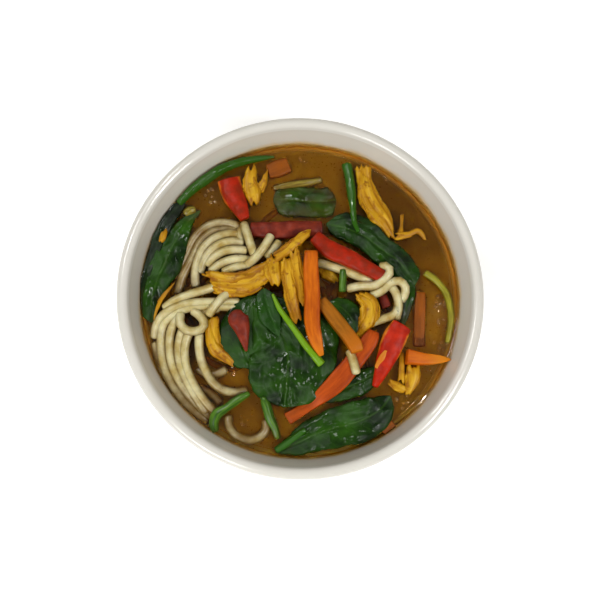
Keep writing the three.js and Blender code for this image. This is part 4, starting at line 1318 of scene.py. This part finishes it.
class THUKPA_OT_carrots(bpy.types.Operator):
    """Cuts the carrot strips"""

    bl_idname = "thukpa.carrots"
    bl_label = "Carrot strips"

    def execute(self, context):
        tones = {
            "bright": carrot_material("Cooked carrot", "#a84600", "#d46c08", ("#d87c14", 34, 46)),
            "pointed": carrot_material("Cooked carrot, pointed", "#b44e04", "#d06a0a", ("#dc8a1c", 6, 16)),
            "deep": carrot_material("Cooked carrot, deep", "#9a3a08", "#c05010"),
            "dull": carrot_material("Cooked carrot, stained", "#7c4a08", "#a6640e", ("#c86e10", 14, 25)),
            "sunk": carrot_material("Cooked carrot under broth", "#84400a", "#a8560e"),
        }
        for node, (tone, points) in CARROTS.items():
            finish_piece(f"{node}_cut", carrot_mesh(points), tones[tone], [node])
        return {"FINISHED"}


class THUKPA_OT_peppers(bpy.types.Operator):
    """Cuts the red pepper strips"""

    bl_idname = "thukpa.peppers"
    bl_label = "Pepper strips"

    def execute(self, context):
        tones = {
            "scarlet": pepper_material("Red pepper", "#b02408", "#86240a", "#cc7018"),
            "bright": pepper_material("Red pepper, bright skin", "#c0280a", "#a01e0a", "#d88a24"),
            "maroon": pepper_material("Red pepper, dark skin", "#8a321e", "#642016", "#a85418"),
        }
        for node, (tone, points) in PEPPERS.items():
            strips = [pepper_mesh(points)]
            if node in PEPPER_RIBS:
                strips.append(rib_mesh(PEPPER_RIBS[node]))
            finish_piece(f"{node}_cut", merged(strips), tones[tone], [node])
        return {"FINISHED"}


class THUKPA_OT_chicken(bpy.types.Operator):
    """Tears the chicken along its fibres"""

    bl_idname = "thukpa.chicken"
    bl_label = "Torn chicken"

    def execute(self, context):
        material = chicken_material()
        for seed, (node, bundles) in enumerate(CHICKEN.items()):
            finish_piece(f"{node}_torn", chicken_mesh(bundles, seed), material, [node])
        finish_piece("chicken_crumbs", chicken_mesh(CRUMBS, 3), material, [])
        return {"FINISHED"}


class THUKPA_OT_stems(bpy.types.Operator):
    """Lays the spinach stalks and the onion strips"""

    bl_idname = "thukpa.stems"
    bl_label = "Stalks and onion"

    def execute(self, context):
        kinds = {
            "green": stem_material("Blanched spinach stalk", "#2a4e14", "#578022"),
            "yellow": stem_material("Yellowed spinach stalk", "#7a7418", "#a09a2a"),
            "onion": stem_material("Softened onion", "#5c4c10", "#a89a3c"),
        }
        for node, (kind, points) in STEMS.items():
            finish_piece(f"{node}_boiled", stem_mesh(points), kinds[kind], [node])
        return {"FINISHED"}


class THUKPA_OT_leaves(bpy.types.Operator):
    """Drapes the spinach leaves"""

    bl_idname = "thukpa.leaves"
    bl_label = "Spinach leaves"

    def execute(self, context):
        wilted = leaf_material("Wilted spinach", "#0c2006", "#28500c", "#3e641a", "#2c5a10")
        fresh = leaf_material("Wilted spinach, pale stalk", "#14320a", "#244c10", "#356022", "#6f9c18")
        # Painted shade: a darker copy of the spinach material, for the leaf that lies along the shaded left
        # wall.
        dark = leaf_material("Wilted spinach, dark", "#060d05", "#14280a", "#203614", "#2c5410")
        for seed, (node, points) in enumerate(LEAVES.items()):
            # spinach_leaf_01 takes the darker copy, as painted shade.
            material = {"spinach_leaf_11": fresh, "spinach_leaf_01": dark}.get(node, wilted)
            blade = leaf_mesh(points, seed, CRUMPLED.get(node, 1), STALKS.get(node))
            finish_piece(f"{node}_wilted", blade, material, [node])
        return {"FINISHED"}


# The lamps: name, place and size in metres, and share of the power that is set for them. The glints light
# nothing: they only show as bright spots in wet surfaces.
LAMPS = [
    ("key", (-0.42, -0.62, 0.75), 0.45, 1.0),
    ("ceiling", (-0.42, 0.3, 0.85), 0.16, 0.32),
    ("side", (0.5, -0.25, 0.8), 0.16, 0.56),
]
GLINTS = [
    ("glint_right", (0.36, -0.06, 0.88), 0.02, 1.0),
    ("glint_left", (-0.27, 0.42, 0.85), 0.02, 1.0),
    ("glint_broth", (0.211, 0.148, 0.95), 0.006, 0.03),
]


class THUKPA_OT_stage(bpy.types.Operator):
    """Sets the pale floor, the soft lights and the camera, which looks down from a little in front"""

    bl_idname = "thukpa.stage"
    bl_label = "Stage"

    def execute(self, context):
        scene = context.scene
        bm = bmesh.new()
        bmesh.ops.create_grid(bm, x_segments=8, y_segments=8, size=3)
        mesh = bpy.data.meshes.new("floor")
        bm.to_mesh(mesh)
        bm.free()
        mesh.materials.append(floor_material())
        floor = bpy.data.objects.new("floor", mesh)
        scene.collection.objects.link(floor)
        for name, place, size, share in LAMPS:
            self.light(scene, name, place, size, settings().key_power * share)
        for name, place, size, share in GLINTS:
            spark = self.light(scene, name, place, size, settings().glint_power * share)
            spark.visible_diffuse = False
            spark.visible_transmission = False
        world = bpy.data.worlds.new("soft studio")
        world.use_nodes = True
        world.node_tree.nodes["Background"].inputs["Color"].default_value = linear("#f4efe4")
        world.node_tree.nodes["Background"].inputs["Strength"].default_value = 0.3
        scene.world = world
        scene.view_settings.view_transform = "Standard"
        self.camera(scene)
        return {"FINISHED"}

    def light(self, scene, name, place, size, power):
        data = bpy.data.lights.new(name, "AREA")
        data.shape = "DISK"
        data.size = size
        data.energy = power
        lamp = bpy.data.objects.new(name, data)
        lamp.location = place
        aim = Vector((0, 0, BROTH_LEVEL * MM)) - lamp.location
        lamp.rotation_euler = aim.to_track_quat("-Z", "Y").to_euler()
        scene.collection.objects.link(lamp)
        return lamp

    def camera(self, scene):
        """The view: 10.4 degrees off straight down, leaning towards the front and a little to the left."""
        data = bpy.data.cameras.new("view")
        data.sensor_width = 36
        data.lens = 64.4
        data.clip_start = 0.01
        back = Vector((-0.03568, -0.17696, 0.98357))
        up = Vector((-0.006415, 0.984218, 0.176841))
        right = up.cross(back)
        camera = bpy.data.objects.new("view", data)
        turn = Matrix((right, up, back)).transposed().to_4x4()
        camera.matrix_world = Matrix.Translation(Vector((-16.687, -82.768, 508.607)) * MM) @ turn
        scene.collection.objects.link(camera)
        scene.camera = camera


OPERATORS = (
    THUKPA_OT_bowl,
    THUKPA_OT_broth,
    THUKPA_OT_noodles,
    THUKPA_OT_carrots,
    THUKPA_OT_peppers,
    THUKPA_OT_chicken,
    THUKPA_OT_stems,
    THUKPA_OT_leaves,
    THUKPA_OT_stage,
)


class THUKPA_PT_panel(bpy.types.Panel):
    """Lists the steps that build the bowl of thukpa"""

    bl_label = "Bowl of thukpa"
    bl_space_type = "VIEW_3D"
    bl_region_type = "UI"
    bl_category = "Thukpa"

    def draw(self, context):
        for name in ThukpaSettings.__annotations__:
            self.layout.prop(context.scene.thukpa, name)
        for operator in OPERATORS:
            self.layout.operator(operator.bl_idname)


def register():
    for item in (ThukpaSettings, *OPERATORS, THUKPA_PT_panel):
        bpy.utils.register_class(item)
    bpy.types.Scene.thukpa = bpy.props.PointerProperty(type=ThukpaSettings)


def unregister():
    del bpy.types.Scene.thukpa
    for item in reversed((ThukpaSettings, *OPERATORS, THUKPA_PT_panel)):
        bpy.utils.unregister_class(item)


def main():
    register()
    bpy.ops.thukpa.bowl()
    bpy.ops.thukpa.broth()
    bpy.ops.thukpa.noodles()
    bpy.ops.thukpa.carrots()
    bpy.ops.thukpa.peppers()
    bpy.ops.thukpa.chicken()
    bpy.ops.thukpa.stems()
    bpy.ops.thukpa.leaves()
    bpy.ops.thukpa.stage()


if __name__ == "__main__":
    main()
